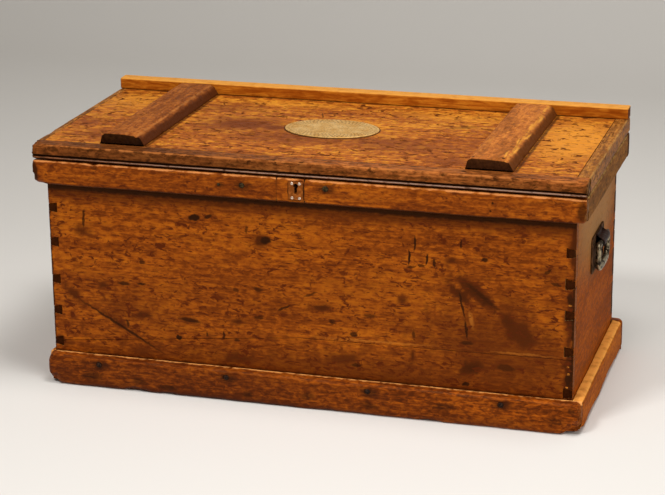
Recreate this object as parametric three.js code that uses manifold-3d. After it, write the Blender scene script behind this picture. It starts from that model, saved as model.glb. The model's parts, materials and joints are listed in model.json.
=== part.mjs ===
// A dovetailed pine sea chest with a plinth, a rim band, a battened lid and iron fittings.
// Millimetres, +Z up, the front faces -Y. The origin is on the floor, under the middle of the chest.
import * as THREE from "three";
import { mergeVertices } from "three/addons/utils/BufferGeometryUtils.js";
import Module from "manifold-3d";

// Clearances
const joinGap = 0.3;
const runningGap = 0.5;
const cutOverrun = 2;
const weldTolerance = 0.0005;

// Case: four dovetailed walls on a boarded bottom
const caseWidth = 930;
const caseDepth = 408;
const wallHeight = 387.2;
const frontThickness = 17;
const backThickness = 17;
const endThickness = 16;
const bottomThickness = 16;
const bottomClearance = 10;
const bottomBoardCount = 3;

// Dovetails: the end boards' pins show on the front and back faces
const pinHeight = 15;
const pinFlare = 5;
const pinRoot = 12;
const leftPinShares = [0.126, 0.276, 0.425, 0.602, 0.764, 0.926];
const rightPinShares = [0.106, 0.296, 0.461, 0.601, 0.74, 0.916];

// The joint between the two front boards climbs from the left end, then runs nearly level
const frontJointLeft = 48;
const frontJointMiddle = 95.5;
const frontJointRight = 100.5;
const frontJointBendShare = -0.01;
const backJointHeight = 205;

// Plinth, worn round, with a thinner board on the left end than on the right
const plinthHeight = 57;
const plinthThickness = 20;
const plinthLeftThickness = 8;
const plinthRightThickness = 18;
const plinthTopRadius = 8;
const plinthFootRadius = 6;
const plinthLeftTopRadius = 4;
const plinthLeftFootRadius = 3;
const plinthCornerRadius = 12;

// Rim band, fixed just under the rim of the case
const bandHeight = 42.5;
const bandDrop = 2.5;
const bandThickness = 18;
const bandEdgeRadius = 3.5;
const bandEndRadius = 13;
const bandTipRadius = 4;
const patchLeftOfKey = 34;
const patchRightOfKey = 15;

// Lid: two boards inside a frame of edge strips
const lidThickness = 26;
const lidOverhang = 18;
const lidFrontDepth = 30;
const lidLeftWidth = 12;
const lidRightWidth = 22;
const lidEdgeRadius = 3.5;
const lidJointShare = 0.5;
const beadRadius = 2.5;
const quirkHeight = 1.5;

// The raised rail along the back of the lid, and the two battens that run up to it
const railHeight = 20;
const railDepth = 28;
const railEdgeRadius = 2;
const battenWidth = 82;
const battenHeight = 19;
const battenLeftShoulder = 4;
const battenRightShoulder = 9;
const battenArris = 4;
const battenPlaceShares = [-0.352, 0.339];

// Oval plaque on the lid
const plaqueWidth = 169;
const plaqueDepth = 122;
const plaqueThickness = 2;
const plaqueBevel = 0.8;
const plaqueShift = -8;

// Keyhole and its inlet plate
const keyShift = -7;
const keyDrop = 15.1;
const keyholeRadius = 4.5;
const keyholeSlotWidth = 5;
const keyholeSlotLength = 13;
const scutcheonWidth = 25;
const scutcheonHeight = 31.5;
const scutcheonAboveKey = 7.5;
const scutcheonThickness = 1.5;
const scutcheonInlet = 1.2;
const scutcheonPinSpacing = 13;
const scutcheonPinEdge = 3.2;
const scutcheonPinHead = 2.3;
const scutcheonPinDome = 1.1;
const scutcheonPinShank = 0.9;
const scutcheonPinLength = 12;

// Box lock behind the front board
const lockHalfWidth = 44;
const lockDepth = 15;
const lockPlate = 2;
const lockBelowKey = 28.4;
const stapleShift = 33;
const stapleThickness = 4;
const stapleDepth = 9;
const stapleDrop = 16;
const stapleEyeDepth = 5;
const stapleEyeHeight = 9;
const stapleFoot = 2.5;
const stapleClearance = 1.4;
const strikeWidth = 50;
const strikeDepth = 18;
const strikeThickness = 2;
const boltThickness = 3.5;
const boltBarHeight = 12;
const boltBarLeft = 34;
const boltArmWidth = 8;
const boltArmReach = 22;
const boltTongueHeight = 6;
const boltTalonWidth = 10;
const boltTalonDepth = 5;
const springThickness = 1;
const springLean = 3;
const springReach = 16;
const keyPinRadius = 2;
const keyPinSetback = 6;
const wardRadius = 9;
const wardThickness = 1.5;
const wardHeight = 3;

// Hinges on the back, with a lip that stops the lid just past upright
const hingeFromEnd = 165;
const hingeWidth = 60;
const hingeKnuckles = 5;
const knuckleRadius = 5.5;
const leafThickness = 2.5;
const caseLeafHeight = 34;
const lidLeafHeight = 38;
const hingePinRadius = 2.2;
const hingePinHead = 3.4;
const hingePinHeadThickness = 1.5;
const stopReach = 10;
const lidOpenDegrees = 105;

// Lifting handles on the ends
const handleHeight = 278;
const handlePlateWidth = 118;
const handlePlateAbove = 15;
const handlePlateBelow = 50;
const handlePlateThickness = 2.5;
const handlePlateRadius = 10;
const handlePivotReach = 11;
const bailBarRadius = 5;
const bailGripRadius = 6.3;
const bailHalfWidth = 46;
const bailDrop = 43;
const bailTopRadius = 8;
const bailBottomRadius = 18;
const keeperWidth = 52;
const keeperThickness = 2.5;
const keeperFlange = 6;

// Nails in the plinth and the rim band
const nailHeadRadius = 5;
const nailDome = 2.2;
const nailShankRadius = 2;
const plinthNailLength = 32;
const plinthNailShares = [-0.403, -0.148, 0.125, 0.374];
const plinthNailHeightShare = 0.77;
const bandNailLength = 28;
const bandNailShares = [-0.154, -0.11, 0.048];
const bandNailSizeShares = [0.5, 0.9, 1];
const bandNailHeightShares = [0.546, 0.576, 0.678];

// How finely round shapes are faceted
const arcSteps = 4;
const roundSteps = 12;
const plaqueSteps = 40;
const bailSides = 10;
const bailArcSteps = 5;
const bailGripSteps = 6;
const bailBarSteps = 2;

// Heights and faces that several pieces share
const wallBottom = bottomClearance + bottomThickness + joinGap;
const wallTop = wallBottom + wallHeight;
const bandTop = wallTop - bandDrop;
const bandBottom = bandTop - bandHeight;
const lidBottom = wallTop + joinGap;
const lidTop = lidBottom + lidThickness;
const halfWidth = caseWidth / 2;
const bandBack = caseDepth + joinGap + bandThickness;
const lidFront = -joinGap - lidOverhang;
const lidBack = bandBack;
const lidHalfWidth = halfWidth + joinGap + lidOverhang;
const lidFrontInner = lidFront + lidFrontDepth;
const plinthFront = -joinGap - plinthThickness;
const keyHeight = wallTop - keyDrop;
const hingeAxisBack = bandBack + joinGap + knuckleRadius;
const hingeAxisHeight = (bandTop + lidBottom) / 2;
const stopHalf = leafThickness / 2;
const stopLean = Math.asin((knuckleRadius - leafThickness - joinGap - stopHalf) / stopReach);
const stopAngle = THREE.MathUtils.degToRad(lidOpenDegrees) - stopLean;
const stopBack = stopReach * Math.sin(stopAngle) + stopHalf * Math.abs(Math.cos(stopAngle));
const hingeBack = hingeAxisBack + stopBack;
const frontReach = plinthFront - nailDome;
const middleBack = (frontReach + hingeBack) / 2;

// Materials
const finish = (color, roughness, metalness) =>
  new THREE.MeshStandardMaterial({ color, roughness, metalness });
const wallPine = finish(0xa4601f, 0.45, 0);
const innerPine = finish(0xb98a52, 0.7, 0);
const plinthPine = finish(0x8a4420, 0.5, 0);
const lidPine = finish(0xc98a32, 0.4, 0);
const railPine = finish(0xd0812a, 0.4, 0);
const battenWood = finish(0x7c4522, 0.45, 0);
const brass = finish(0xb59a5c, 0.4, 1);
const darkIron = finish(0x2c2622, 0.6, 0.8);
const brightSteel = finish(0xc8c4bc, 0.3, 1);
const springSteel = finish(0x6a6a70, 0.4, 1);

const wasm = await Module();
wasm.setup();

// Solids and surfaces: a closed geometry becomes a solid, is joined or cut, and comes back
function solid(geometry) {
  const bare = geometry.index ? geometry.toNonIndexed() : geometry.clone();
  bare.deleteAttribute("normal");
  bare.deleteAttribute("uv");
  const merged = mergeVertices(bare, weldTolerance);
  return new wasm.Manifold(
    new wasm.Mesh({
      numProp: 3,
      vertProperties: merged.attributes.position.array,
      triVerts: new Uint32Array(merged.index.array),
    }),
  );
}

function surface(shape) {
  const mesh = shape.getMesh();
  const geometry = new THREE.BufferGeometry();
  geometry.setAttribute("position", new THREE.BufferAttribute(mesh.vertProperties, 3));
  geometry.setIndex(new THREE.BufferAttribute(mesh.triVerts, 1));
  geometry.computeVertexNormals();
  return geometry;
}

function cut(geometry, tools) {
  return surface(tools.reduce((whole, tool) => whole.subtract(solid(tool)), solid(geometry)));
}

function join(geometry, others) {
  return surface(others.reduce((whole, other) => whole.add(solid(other)), solid(geometry)));
}

function common(geometry, other) {
  return surface(solid(geometry).intersect(solid(other)));
}

// Outlines and the three ways to extrude them
const xAxis = new THREE.Vector3(1, 0, 0);
const yAxis = new THREE.Vector3(0, 1, 0);
const zAxis = new THREE.Vector3(0, 0, 1);

function outline(points) {
  return new THREE.Shape(points.map(([across, up]) => new THREE.Vector2(across, up)));
}

function extrusion(shape, length, steps) {
  return new THREE.ExtrudeGeometry(shape, { depth: length, bevelEnabled: false, curveSegments: steps });
}

// The outline is drawn in Y and Z
function alongX(shape, from, to, steps = arcSteps) {
  const turned = new THREE.Matrix4().makeBasis(yAxis, zAxis, xAxis);
  return extrusion(shape, to - from, steps).applyMatrix4(turned).translate(from, 0, 0);
}

// The outline is drawn in X and Z
function alongY(shape, from, to, steps = arcSteps) {
  const turned = new THREE.Matrix4().makeBasis(xAxis, zAxis, yAxis.clone().negate());
  return extrusion(shape, to - from, steps).applyMatrix4(turned).translate(0, to, 0);
}

// The outline is drawn in X and Y
function alongZ(shape, from, to, steps = arcSteps) {
  return extrusion(shape, to - from, steps).translate(0, 0, from);
}

function block(low, high) {
  const size = high.map((value, i) => value - low[i]);
  const middle = high.map((value, i) => (value + low[i]) / 2);
  return new THREE.BoxGeometry(...size).translate(...middle);
}

// A rectangle whose corners are rounded one by one: lower left, lower right, upper right, upper left
function roundedRectangle(low, high, [lowerLeft, lowerRight, upperRight, upperLeft]) {
  const shape = new THREE.Shape();
  const quarter = Math.PI / 2;
  const corner = (across, up, radius, turns) => {
    if (radius > 0) shape.absarc(across, up, radius, turns * quarter, (turns + 1) * quarter, false);
    else shape.lineTo(across, up);
  };
  shape.moveTo(low[0] + lowerLeft, low[1]);
  corner(high[0] - lowerRight, low[1] + lowerRight, lowerRight, 3);
  corner(high[0] - upperRight, high[1] - upperRight, upperRight, 0);
  corner(low[0] + upperLeft, high[1] - upperLeft, upperLeft, 1);
  if (lowerLeft > 0) corner(low[0] + lowerLeft, low[1] + lowerLeft, lowerLeft, 2);
  else shape.lineTo(low[0], low[1]);
  return shape;
}

function roundBar(radius, length, steps = roundSteps) {
  return new THREE.CylinderGeometry(radius, radius, length, steps);
}

// A domed head on a round shank, lying along Y with the head's back at zero and the dome towards -Y
function nail(headRadius, dome, shankRadius, length) {
  const quarter = Math.PI / 2;
  const domePoints = Array.from({ length: arcSteps + 1 }, (_, i) => {
    const angle = (quarter * i) / arcSteps;
    return new THREE.Vector2(headRadius * Math.cos(angle), dome * Math.sin(angle));
  });
  domePoints[arcSteps].x = 0;
  const profile = [
    new THREE.Vector2(0, -length),
    new THREE.Vector2(shankRadius, -length),
    new THREE.Vector2(shankRadius, 0),
    ...domePoints,
  ];
  return new THREE.LatheGeometry(profile, roundSteps).rotateX(Math.PI);
}

// The hole for such a shank, through everything from one depth to another
function nailHole(shankRadius, across, up, from, to) {
  const middle = (from + to) / 2;
  return roundBar(shankRadius + joinGap, to - from).translate(across, middle, up);
}

const chest = new THREE.Group();
const lid = new THREE.Group();
chest.add(lid);

function place(group, name, geometry, material, position = [0, 0, 0]) {
  const mesh = new THREE.Mesh(geometry, material);
  mesh.name = name;
  mesh.position.set(...position);
  group.add(mesh);
  return mesh;
}

// One dovetail pin seen from the front: narrow at the case's end, wide at the inner face
function pinOutline(side, height, grow, endOverrun) {
  const slope = pinFlare / 2 / endThickness;
  const middleHalf = pinHeight / 2 + grow;
  const outer = halfWidth + endOverrun;
  const inner = halfWidth - endThickness - grow;
  const halfAt = (across) => middleHalf + (halfWidth - endThickness / 2 - across) * slope;
  return outline([
    [side * outer, height - halfAt(outer)],
    [side * outer, height + halfAt(outer)],
    [side * inner, height + halfAt(inner)],
    [side * inner, height - halfAt(inner)],
  ]);
}

const pinHeights = (shares) => shares.map((share) => wallBottom + share * wallHeight);
const ends = [
  { name: "left", side: -1, pins: pinHeights(leftPinShares) },
  { name: "right", side: 1, pins: pinHeights(rightPinShares) },
];

// The sockets that both ends' pins need in a wall between two depths
function pinSockets(from, to) {
  return ends.flatMap(({ side, pins }) =>
    pins.map((height) => alongY(pinOutline(side, height, joinGap, cutOverrun), from, to)),
  );
}

function keyholeOutline() {
  const half = keyholeSlotWidth / 2;
  const start = Math.asin(half / keyholeRadius);
  const down = -Math.PI / 2;
  const shape = new THREE.Shape();
  shape.absarc(0, 0, keyholeRadius, down + start, down - start + 2 * Math.PI, false);
  shape.lineTo(-half, -keyholeSlotLength);
  shape.lineTo(half, -keyholeSlotLength);
  return shape;
}

function keyholeTool(from, to) {
  return alongY(keyholeOutline(), from, to).translate(keyShift, 0, keyHeight);
}

const plinthNailPlaces = plinthNailShares.map((share) => share * caseWidth);
const plinthNailHeight = plinthNailHeightShare * plinthHeight;
const plinthNailEnd = plinthFront + plinthNailLength + joinGap;
const bandNailPlaces = bandNailShares.map((share, i) => [
  share * caseWidth,
  bandBottom + bandNailHeightShares[i] * bandHeight,
]);
const bandNailEnd = -joinGap - bandThickness + bandNailLength + joinGap;

// Front wall: two boards with a joint that isn't level
function buildFront() {
  const bend = frontJointBendShare * caseWidth;
  const joint = [
    [-halfWidth, wallBottom + frontJointLeft],
    [bend, wallBottom + frontJointMiddle],
    [halfWidth, wallBottom + frontJointRight],
  ];
  const lower = outline([
    [-halfWidth, wallBottom],
    [halfWidth, wallBottom],
    ...joint.slice().reverse(),
  ]);
  const upper = outline([
    ...joint.map(([across, up]) => [across, up + joinGap]),
    [halfWidth, wallTop],
    [-halfWidth, wallTop],
  ]);
  const sockets = pinSockets(-cutOverrun, frontThickness + cutOverrun);
  const lowerHoles = plinthNailPlaces.map((across) =>
    nailHole(nailShankRadius, across, plinthNailHeight, -cutOverrun, plinthNailEnd),
  );
  const upperHoles = bandNailPlaces.map(([across, up]) =>
    nailHole(nailShankRadius, across, up, -cutOverrun, bandNailEnd),
  );
  const keyhole = keyholeTool(-cutOverrun, frontThickness + cutOverrun);
  const lowerBoard = cut(alongY(lower, 0, frontThickness), [...sockets, ...lowerHoles]);
  const upperBoard = cut(alongY(upper, 0, frontThickness), [...sockets, ...upperHoles, keyhole]);
  place(chest, "front_board_lower", lowerBoard, wallPine);
  place(chest, "front_board_upper", upperBoard, wallPine);
}

// Back wall: two boards with a level joint
function buildBack() {
  const front = caseDepth - backThickness;
  const joint = wallBottom + backJointHeight;
  const sockets = pinSockets(front - cutOverrun, caseDepth + cutOverrun);
  const lower = block([-halfWidth, front, wallBottom], [halfWidth, caseDepth, joint]);
  const upper = block([-halfWidth, front, joint + joinGap], [halfWidth, caseDepth, wallTop]);
  place(chest, "back_board_lower", cut(lower, sockets), wallPine);
  place(chest, "back_board_upper", cut(upper, sockets), wallPine);
}

// End walls, with a row of pins at each upright edge
function buildEnds() {
  const front = frontThickness + joinGap;
  const back = caseDepth - backThickness - joinGap;
  for (const { name, side, pins } of ends) {
    const inner = side * (halfWidth - endThickness);
    const outer = side * halfWidth;
    const body = block(
      [Math.min(inner, outer), front, wallBottom],
      [Math.max(inner, outer), back, wallTop],
    );
    const rows = pins.flatMap((height) => [
      alongY(pinOutline(side, height, 0, 0), 0, front + pinRoot),
      alongY(pinOutline(side, height, 0, 0), back - pinRoot, caseDepth),
    ]);
    place(chest, `${name}_end_board`, join(body, rows), wallPine);
  }
}

function buildBottom() {
  const boardDepth = (caseDepth - joinGap * (bottomBoardCount - 1)) / bottomBoardCount;
  const top = bottomClearance + bottomThickness;
  for (let i = 0; i < bottomBoardCount; i += 1) {
    const front = i * (boardDepth + joinGap);
    const low = [-halfWidth, front, bottomClearance];
    const high = [halfWidth, front + boardDepth, top];
    place(chest, `bottom_board_${i + 1}`, block(low, high), innerPine);
  }
}

// Plinth: the front and back boards lap the ends of the side boards
function buildPlinth() {
  const sideInner = halfWidth + joinGap;
  const left = -sideInner - plinthLeftThickness;
  const right = sideInner + plinthRightThickness;
  const section = (outer, inner, foot, top) =>
    outer < inner
      ? roundedRectangle([outer, 0], [inner, plinthHeight], [foot, 0, 0, top])
      : roundedRectangle([inner, 0], [outer, plinthHeight], [0, foot, top, 0]);
  const radii = [plinthFootRadius, plinthTopRadius];
  const backInner = caseDepth + joinGap;
  const backOuter = backInner + plinthThickness;
  const corner = plinthCornerRadius;
  const frontPlan = roundedRectangle([left, plinthFront], [right, 0], [corner, corner, 0, 0]);
  const backPlan = roundedRectangle([left, 0], [right, backOuter], [0, 0, corner, corner]);
  const tall = [-cutOverrun, plinthHeight + cutOverrun];
  const frontBar = alongX(section(plinthFront, -joinGap, ...radii), left, right);
  const backBar = alongX(section(backOuter, backInner, ...radii), left, right);
  const front = common(frontBar, alongZ(frontPlan, ...tall));
  const holes = plinthNailPlaces.map((across) =>
    nailHole(nailShankRadius, across, plinthNailHeight, plinthFront - cutOverrun, cutOverrun),
  );
  place(chest, "plinth_front", cut(front, holes), plinthPine);
  place(chest, "plinth_back", common(backBar, alongZ(backPlan, ...tall)), plinthPine);
  const leftSection = section(left, -sideInner, plinthLeftFootRadius, plinthLeftTopRadius);
  place(chest, "plinth_left", alongY(leftSection, 0, caseDepth), plinthPine);
  place(chest, "plinth_right", alongY(section(right, sideInner, ...radii), 0, caseDepth), plinthPine);
  plinthNailPlaces.forEach((across, i) => {
    const piece = nail(nailHeadRadius, nailDome, nailShankRadius, plinthNailLength);
    place(chest, `plinth_nail_${i + 1}`, piece, darkIron, [across, plinthFront, plinthNailHeight]);
  });
}

// Rim band: the front and back pieces lap the side pieces, and a patch carries the keyhole
function buildBand() {
  const sideInner = halfWidth + joinGap;
  const reach = sideInner + bandThickness;
  const bandFront = -joinGap - bandThickness;
  const edge = bandEdgeRadius;
  const section = (outer, inner) =>
    outer < inner
      ? roundedRectangle([outer, bandBottom], [inner, bandTop], [edge, 0, 0, edge])
      : roundedRectangle([inner, bandBottom], [outer, bandTop], [0, edge, edge, 0]);
  const elevation = roundedRectangle([-reach, bandBottom], [reach, bandTop], [
    bandEndRadius,
    bandEndRadius,
    bandTipRadius,
    bandTipRadius,
  ]);
  const front = common(
    alongX(section(bandFront, -joinGap), -reach, reach),
    alongY(elevation, bandFront - cutOverrun, cutOverrun),
  );
  const stretch = (from, to) =>
    block(
      [from, bandFront - cutOverrun, bandBottom - cutOverrun],
      [to, cutOverrun, bandTop + cutOverrun],
    );
  const patchLeft = keyShift - patchLeftOfKey;
  const patchRight = keyShift + patchRightOfKey;
  const stretches = {
    rim_band_front_left: stretch(-reach - cutOverrun, patchLeft - joinGap),
    keyhole_patch: stretch(patchLeft, patchRight),
    rim_band_front_right: stretch(patchRight + joinGap, reach + cutOverrun),
  };
  const inlet = scutcheonInlet + joinGap;
  const halfInlet = scutcheonWidth / 2 + joinGap;
  const top = keyHeight + scutcheonAboveKey + joinGap;
  const bottom = keyHeight + scutcheonAboveKey - scutcheonHeight - joinGap;
  const pocket = block(
    [keyShift - halfInlet, bandFront - cutOverrun, bottom],
    [keyShift + halfInlet, bandFront + inlet, top],
  );
  const pinEnd = bandFront + scutcheonPinLength;
  const pinHoles = scutcheonPinPlaces().map(([across, up]) =>
    nailHole(scutcheonPinShank, across, up, bandFront - cutOverrun, pinEnd + joinGap),
  );
  const nailHoles = bandNailPlaces.map(([across, up]) =>
    nailHole(nailShankRadius, across, up, bandFront - cutOverrun, cutOverrun),
  );
  const tools = [pocket, keyholeTool(bandFront - cutOverrun, cutOverrun), ...pinHoles, ...nailHoles];
  for (const [name, length] of Object.entries(stretches)) {
    place(chest, name, cut(common(front, length), tools), wallPine);
  }
  const back = alongX(section(bandBack, bandBack - bandThickness), -reach, reach);
  place(chest, "rim_band_back", back, wallPine);
  for (const { name, side } of ends) {
    const piece = alongY(section(side * reach, side * sideInner), 0, caseDepth);
    place(chest, `rim_band_${name}`, piece, wallPine);
  }
  bandNailPlaces.forEach(([across, up], i) => {
    const size = bandNailSizeShares[i];
    const piece = nail(size * nailHeadRadius, size * nailDome, nailShankRadius, bandNailLength);
    place(chest, `rim_nail_${i + 1}`, piece, darkIron, [across, bandFront, up]);
  });
}

function scutcheonPinPlaces() {
  const top = keyHeight + scutcheonAboveKey;
  const half = scutcheonPinSpacing / 2;
  const heights = [top - scutcheonPinEdge, top - scutcheonHeight + scutcheonPinEdge];
  return heights.flatMap((up) => [
    [keyShift - half, up],
    [keyShift + half, up],
  ]);
}

// The small plate round the keyhole, let into the band, with four bright pins
function buildScutcheon() {
  const back = -joinGap - bandThickness + scutcheonInlet;
  const front = back - scutcheonThickness;
  const top = keyHeight + scutcheonAboveKey;
  const plate = block(
    [keyShift - scutcheonWidth / 2, front, top - scutcheonHeight],
    [keyShift + scutcheonWidth / 2, back, top],
  );
  const holes = scutcheonPinPlaces().map(([across, up]) =>
    nailHole(scutcheonPinShank, across, up, front - cutOverrun, back + cutOverrun),
  );
  const tools = [keyholeTool(front - cutOverrun, back + cutOverrun), ...holes];
  place(chest, "scutcheon", cut(plate, tools), brass);
  scutcheonPinPlaces().forEach(([across, up], i) => {
    const piece = nail(scutcheonPinHead, scutcheonPinDome, scutcheonPinShank, scutcheonPinLength);
    place(chest, `scutcheon_pin_${i + 1}`, piece, brightSteel, [across, front, up]);
  });
}

// Lid boards and edge strips; the front strip carries a quirk and bead
function buildLid() {
  const left = -lidHalfWidth;
  const right = lidHalfWidth;
  const beadTop = lidBottom + 2 * beadRadius;
  const beadBack = lidFront + beadRadius;
  const frontShape = new THREE.Shape();
  const quarter = Math.PI / 2;
  const edge = lidEdgeRadius;
  frontShape.moveTo(lidFrontInner, lidBottom);
  frontShape.lineTo(lidFrontInner, lidTop);
  frontShape.absarc(lidFront + edge, lidTop - edge, edge, quarter, 2 * quarter, false);
  frontShape.lineTo(lidFront, beadTop + quirkHeight);
  frontShape.lineTo(beadBack, beadTop + quirkHeight);
  frontShape.absarc(beadBack, lidBottom + beadRadius, beadRadius, quarter, 3 * quarter, false);
  place(lid, "lid_front_edge", alongX(frontShape, left, right), lidPine);

  const stripFront = lidFrontInner + joinGap;
  const leftShape = roundedRectangle([left, lidBottom], [left + lidLeftWidth, lidTop], [0, 0, 0, edge]);
  const rightShape = roundedRectangle([right - lidRightWidth, lidBottom], [right, lidTop], [0, 0, edge, 0]);
  place(lid, "lid_left_edge", alongY(leftShape, stripFront, lidBack), lidPine);
  place(lid, "lid_right_edge", alongY(rightShape, stripFront, lidBack), lidPine);

  const boardLeft = left + lidLeftWidth + joinGap;
  const boardRight = right - lidRightWidth - joinGap;
  const joint = stripFront + lidJointShare * (lidBack - stripFront);
  const frontBoard = block([boardLeft, stripFront, lidBottom], [boardRight, joint, lidTop]);
  const strike = strikeBounds();
  const pocket = block(
    [strike.left - joinGap, strike.front - joinGap, lidBottom - cutOverrun],
    [strike.right + joinGap, strike.back + joinGap, lidBottom + strikeThickness + joinGap],
  );
  const backBoard = block([boardLeft, joint + joinGap, lidBottom], [boardRight, lidBack, lidTop]);
  place(lid, "lid_board_front", cut(frontBoard, [pocket]), lidPine);
  place(lid, "lid_board_back", backBoard, lidPine);
}

// The raised back rail and the battens butting against it
function buildRailAndBattens() {
  const seat = lidTop + joinGap;
  const railFront = lidBack - railDepth;
  const rail = roundedRectangle([railFront, seat], [lidBack, seat + railHeight], [
    0,
    0,
    railEdgeRadius,
    railEdgeRadius,
  ]);
  place(lid, "lid_back_rail", alongX(rail, -lidHalfWidth, lidHalfWidth), railPine);
  const names = ["left_batten", "right_batten"];
  names.forEach((name, i) => {
    const middle = battenPlaceShares[i] * caseWidth;
    const left = middle - battenWidth / 2;
    const right = middle + battenWidth / 2;
    const top = seat + battenHeight;
    const section = outline([
      [left, seat],
      [right, seat],
      [right - battenArris / 2, seat + battenArris],
      [right - battenRightShoulder, top - battenArris / 2],
      [right - battenRightShoulder - battenArris, top],
      [left + battenLeftShoulder + battenArris, top],
      [left + battenLeftShoulder, top - battenArris / 2],
    ]);
    place(lid, name, alongY(section, lidFrontInner, railFront - joinGap), battenWood);
  });
}

function buildPlaque() {
  const shape = new THREE.Shape();
  const halfAcross = plaqueWidth / 2 - plaqueBevel;
  const halfDeep = plaqueDepth / 2 - plaqueBevel;
  shape.absellipse(0, 0, halfAcross, halfDeep, 0, 2 * Math.PI, false, 0);
  const plate = new THREE.ExtrudeGeometry(shape, {
    depth: plaqueThickness - 2 * plaqueBevel,
    bevelEnabled: true,
    bevelThickness: plaqueBevel,
    bevelSize: plaqueBevel,
    bevelSegments: 1,
    curveSegments: plaqueSteps,
  });
  const middle = (lidFront + lidBack) / 2;
  place(lid, "plaque", plate, brass, [plaqueShift, middle, lidTop + joinGap + plaqueBevel]);
}

// Where the strike plate lies in the lid, over the lock
function strikeBounds() {
  const across = keyShift + stapleShift;
  const deep = frontThickness + joinGap + lockPlate + (lockDepth - lockPlate) / 2;
  return {
    across,
    deep,
    left: across - strikeWidth / 2,
    right: across + strikeWidth / 2,
    front: deep - strikeDepth / 2,
    back: deep + strikeDepth / 2,
  };
}

// The lock: a box on the inner face of the front board, with its bolt, spring, key pin and ward
function buildLock() {
  const lock = new THREE.Group();
  lock.position.set(keyShift, frontThickness + joinGap, keyHeight);
  chest.add(lock);
  const top = keyDrop;
  const bottom = -lockBelowKey;
  const floor = bottom + lockPlate;
  const deep = (lockDepth + lockPlate) / 2;
  const shell = block([-lockHalfWidth, 0, bottom], [lockHalfWidth, lockDepth, top]);
  const room = block(
    [-lockHalfWidth + lockPlate, lockPlate, floor],
    [lockHalfWidth - lockPlate, lockDepth + cutOverrun, top - lockPlate],
  );
  const halfSlot = stapleThickness / 2 + stapleClearance;
  const halfSlotDeep = stapleDepth / 2 + stapleClearance;
  const slot = block(
    [stapleShift - halfSlot, deep - halfSlotDeep, top - lockPlate - cutOverrun],
    [stapleShift + halfSlot, deep + halfSlotDeep, top + cutOverrun],
  );
  const keyhole = alongY(keyholeOutline(), -cutOverrun, lockPlate + cutOverrun);
  place(lock, "lock_case", cut(shell, [room, slot, keyhole]), darkIron);
  const coverFront = lockDepth + joinGap;
  const cover = block([-lockHalfWidth, coverFront, bottom], [lockHalfWidth, coverFront + lockPlate, top]);
  place(lock, "lock_cover", cover, darkIron);

  const barBottom = floor + joinGap;
  const barTop = barBottom + boltBarHeight;
  const armLeft = boltArmReach - boltArmWidth;
  const eyeMiddle = top + joinGap - stapleDrop + stapleFoot + stapleEyeHeight / 2;
  const tongueBottom = eyeMiddle - boltTongueHeight / 2;
  const tongueTop = eyeMiddle + boltTongueHeight / 2;
  const tongueTip = stapleShift - stapleThickness / 2 - runningGap;
  const talon = boltTalonWidth / 2;
  const boltShape = outline([
    [-boltBarLeft, barBottom],
    [boltArmReach, barBottom],
    [boltArmReach, tongueBottom],
    [tongueTip, tongueBottom],
    [tongueTip, tongueTop],
    [armLeft, tongueTop],
    [armLeft, barTop],
    [talon, barTop],
    [talon, barTop - boltTalonDepth],
    [-talon, barTop - boltTalonDepth],
    [-talon, barTop],
    [-boltBarLeft, barTop],
  ]);
  const boltFront = deep - boltThickness / 2;
  const boltBack = deep + boltThickness / 2;
  place(lock, "lock_bolt", alongY(boltShape, boltFront, boltBack), springSteel);

  const foot = [-boltBarLeft + springThickness, barTop + joinGap];
  const roof = top - lockPlate - joinGap;
  const elbow = [foot[0] - springLean, roof];
  const tip = [foot[0] + springReach, roof - springThickness];
  const line = new THREE.QuadraticBezierCurve(
    new THREE.Vector2(...foot),
    new THREE.Vector2(...elbow),
    new THREE.Vector2(...tip),
  );
  const path = line.getPoints(roundSteps);
  const inside = path.map((point, i) => {
    const along = line.getTangent(i / roundSteps);
    return new THREE.Vector2(point.x + springThickness * along.y, point.y - springThickness * along.x);
  });
  const strip = new THREE.Shape([...path, ...inside.reverse()]);
  place(lock, "bolt_spring", alongY(strip, boltFront, boltBack), springSteel);

  const pinLength = lockDepth - keyPinSetback;
  const pin = roundBar(keyPinRadius, pinLength).translate(0, keyPinSetback + pinLength / 2, 0);
  place(lock, "key_pin", pin, springSteel);
  const ward = new THREE.Shape();
  ward.absarc(0, 0, wardRadius + wardThickness / 2, 0, Math.PI, false);
  ward.absarc(0, 0, wardRadius - wardThickness / 2, Math.PI, 0, true);
  place(lock, "lock_ward", alongY(ward, lockDepth - wardHeight, lockDepth, roundSteps), springSteel);
}

// The strike plate under the lid, whose eye drops through the lock's top for the bolt to enter
function buildStrike() {
  const { across, deep, left, right, front, back } = strikeBounds();
  const plate = block([left, front, lidBottom], [right, back, lidBottom + strikeThickness]);
  const half = stapleThickness / 2;
  const low = lidBottom - stapleDrop;
  const staple = block(
    [across - half, deep - stapleDepth / 2, low],
    [across + half, deep + stapleDepth / 2, lidBottom + strikeThickness / 2],
  );
  const eyeLow = low + stapleFoot;
  const eye = block(
    [across - half - cutOverrun, deep - stapleEyeDepth / 2, eyeLow],
    [across + half + cutOverrun, deep + stapleEyeDepth / 2, eyeLow + stapleEyeHeight],
  );
  place(lid, "lock_strike", join(plate, [cut(staple, [eye])]), darkIron);
}

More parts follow.
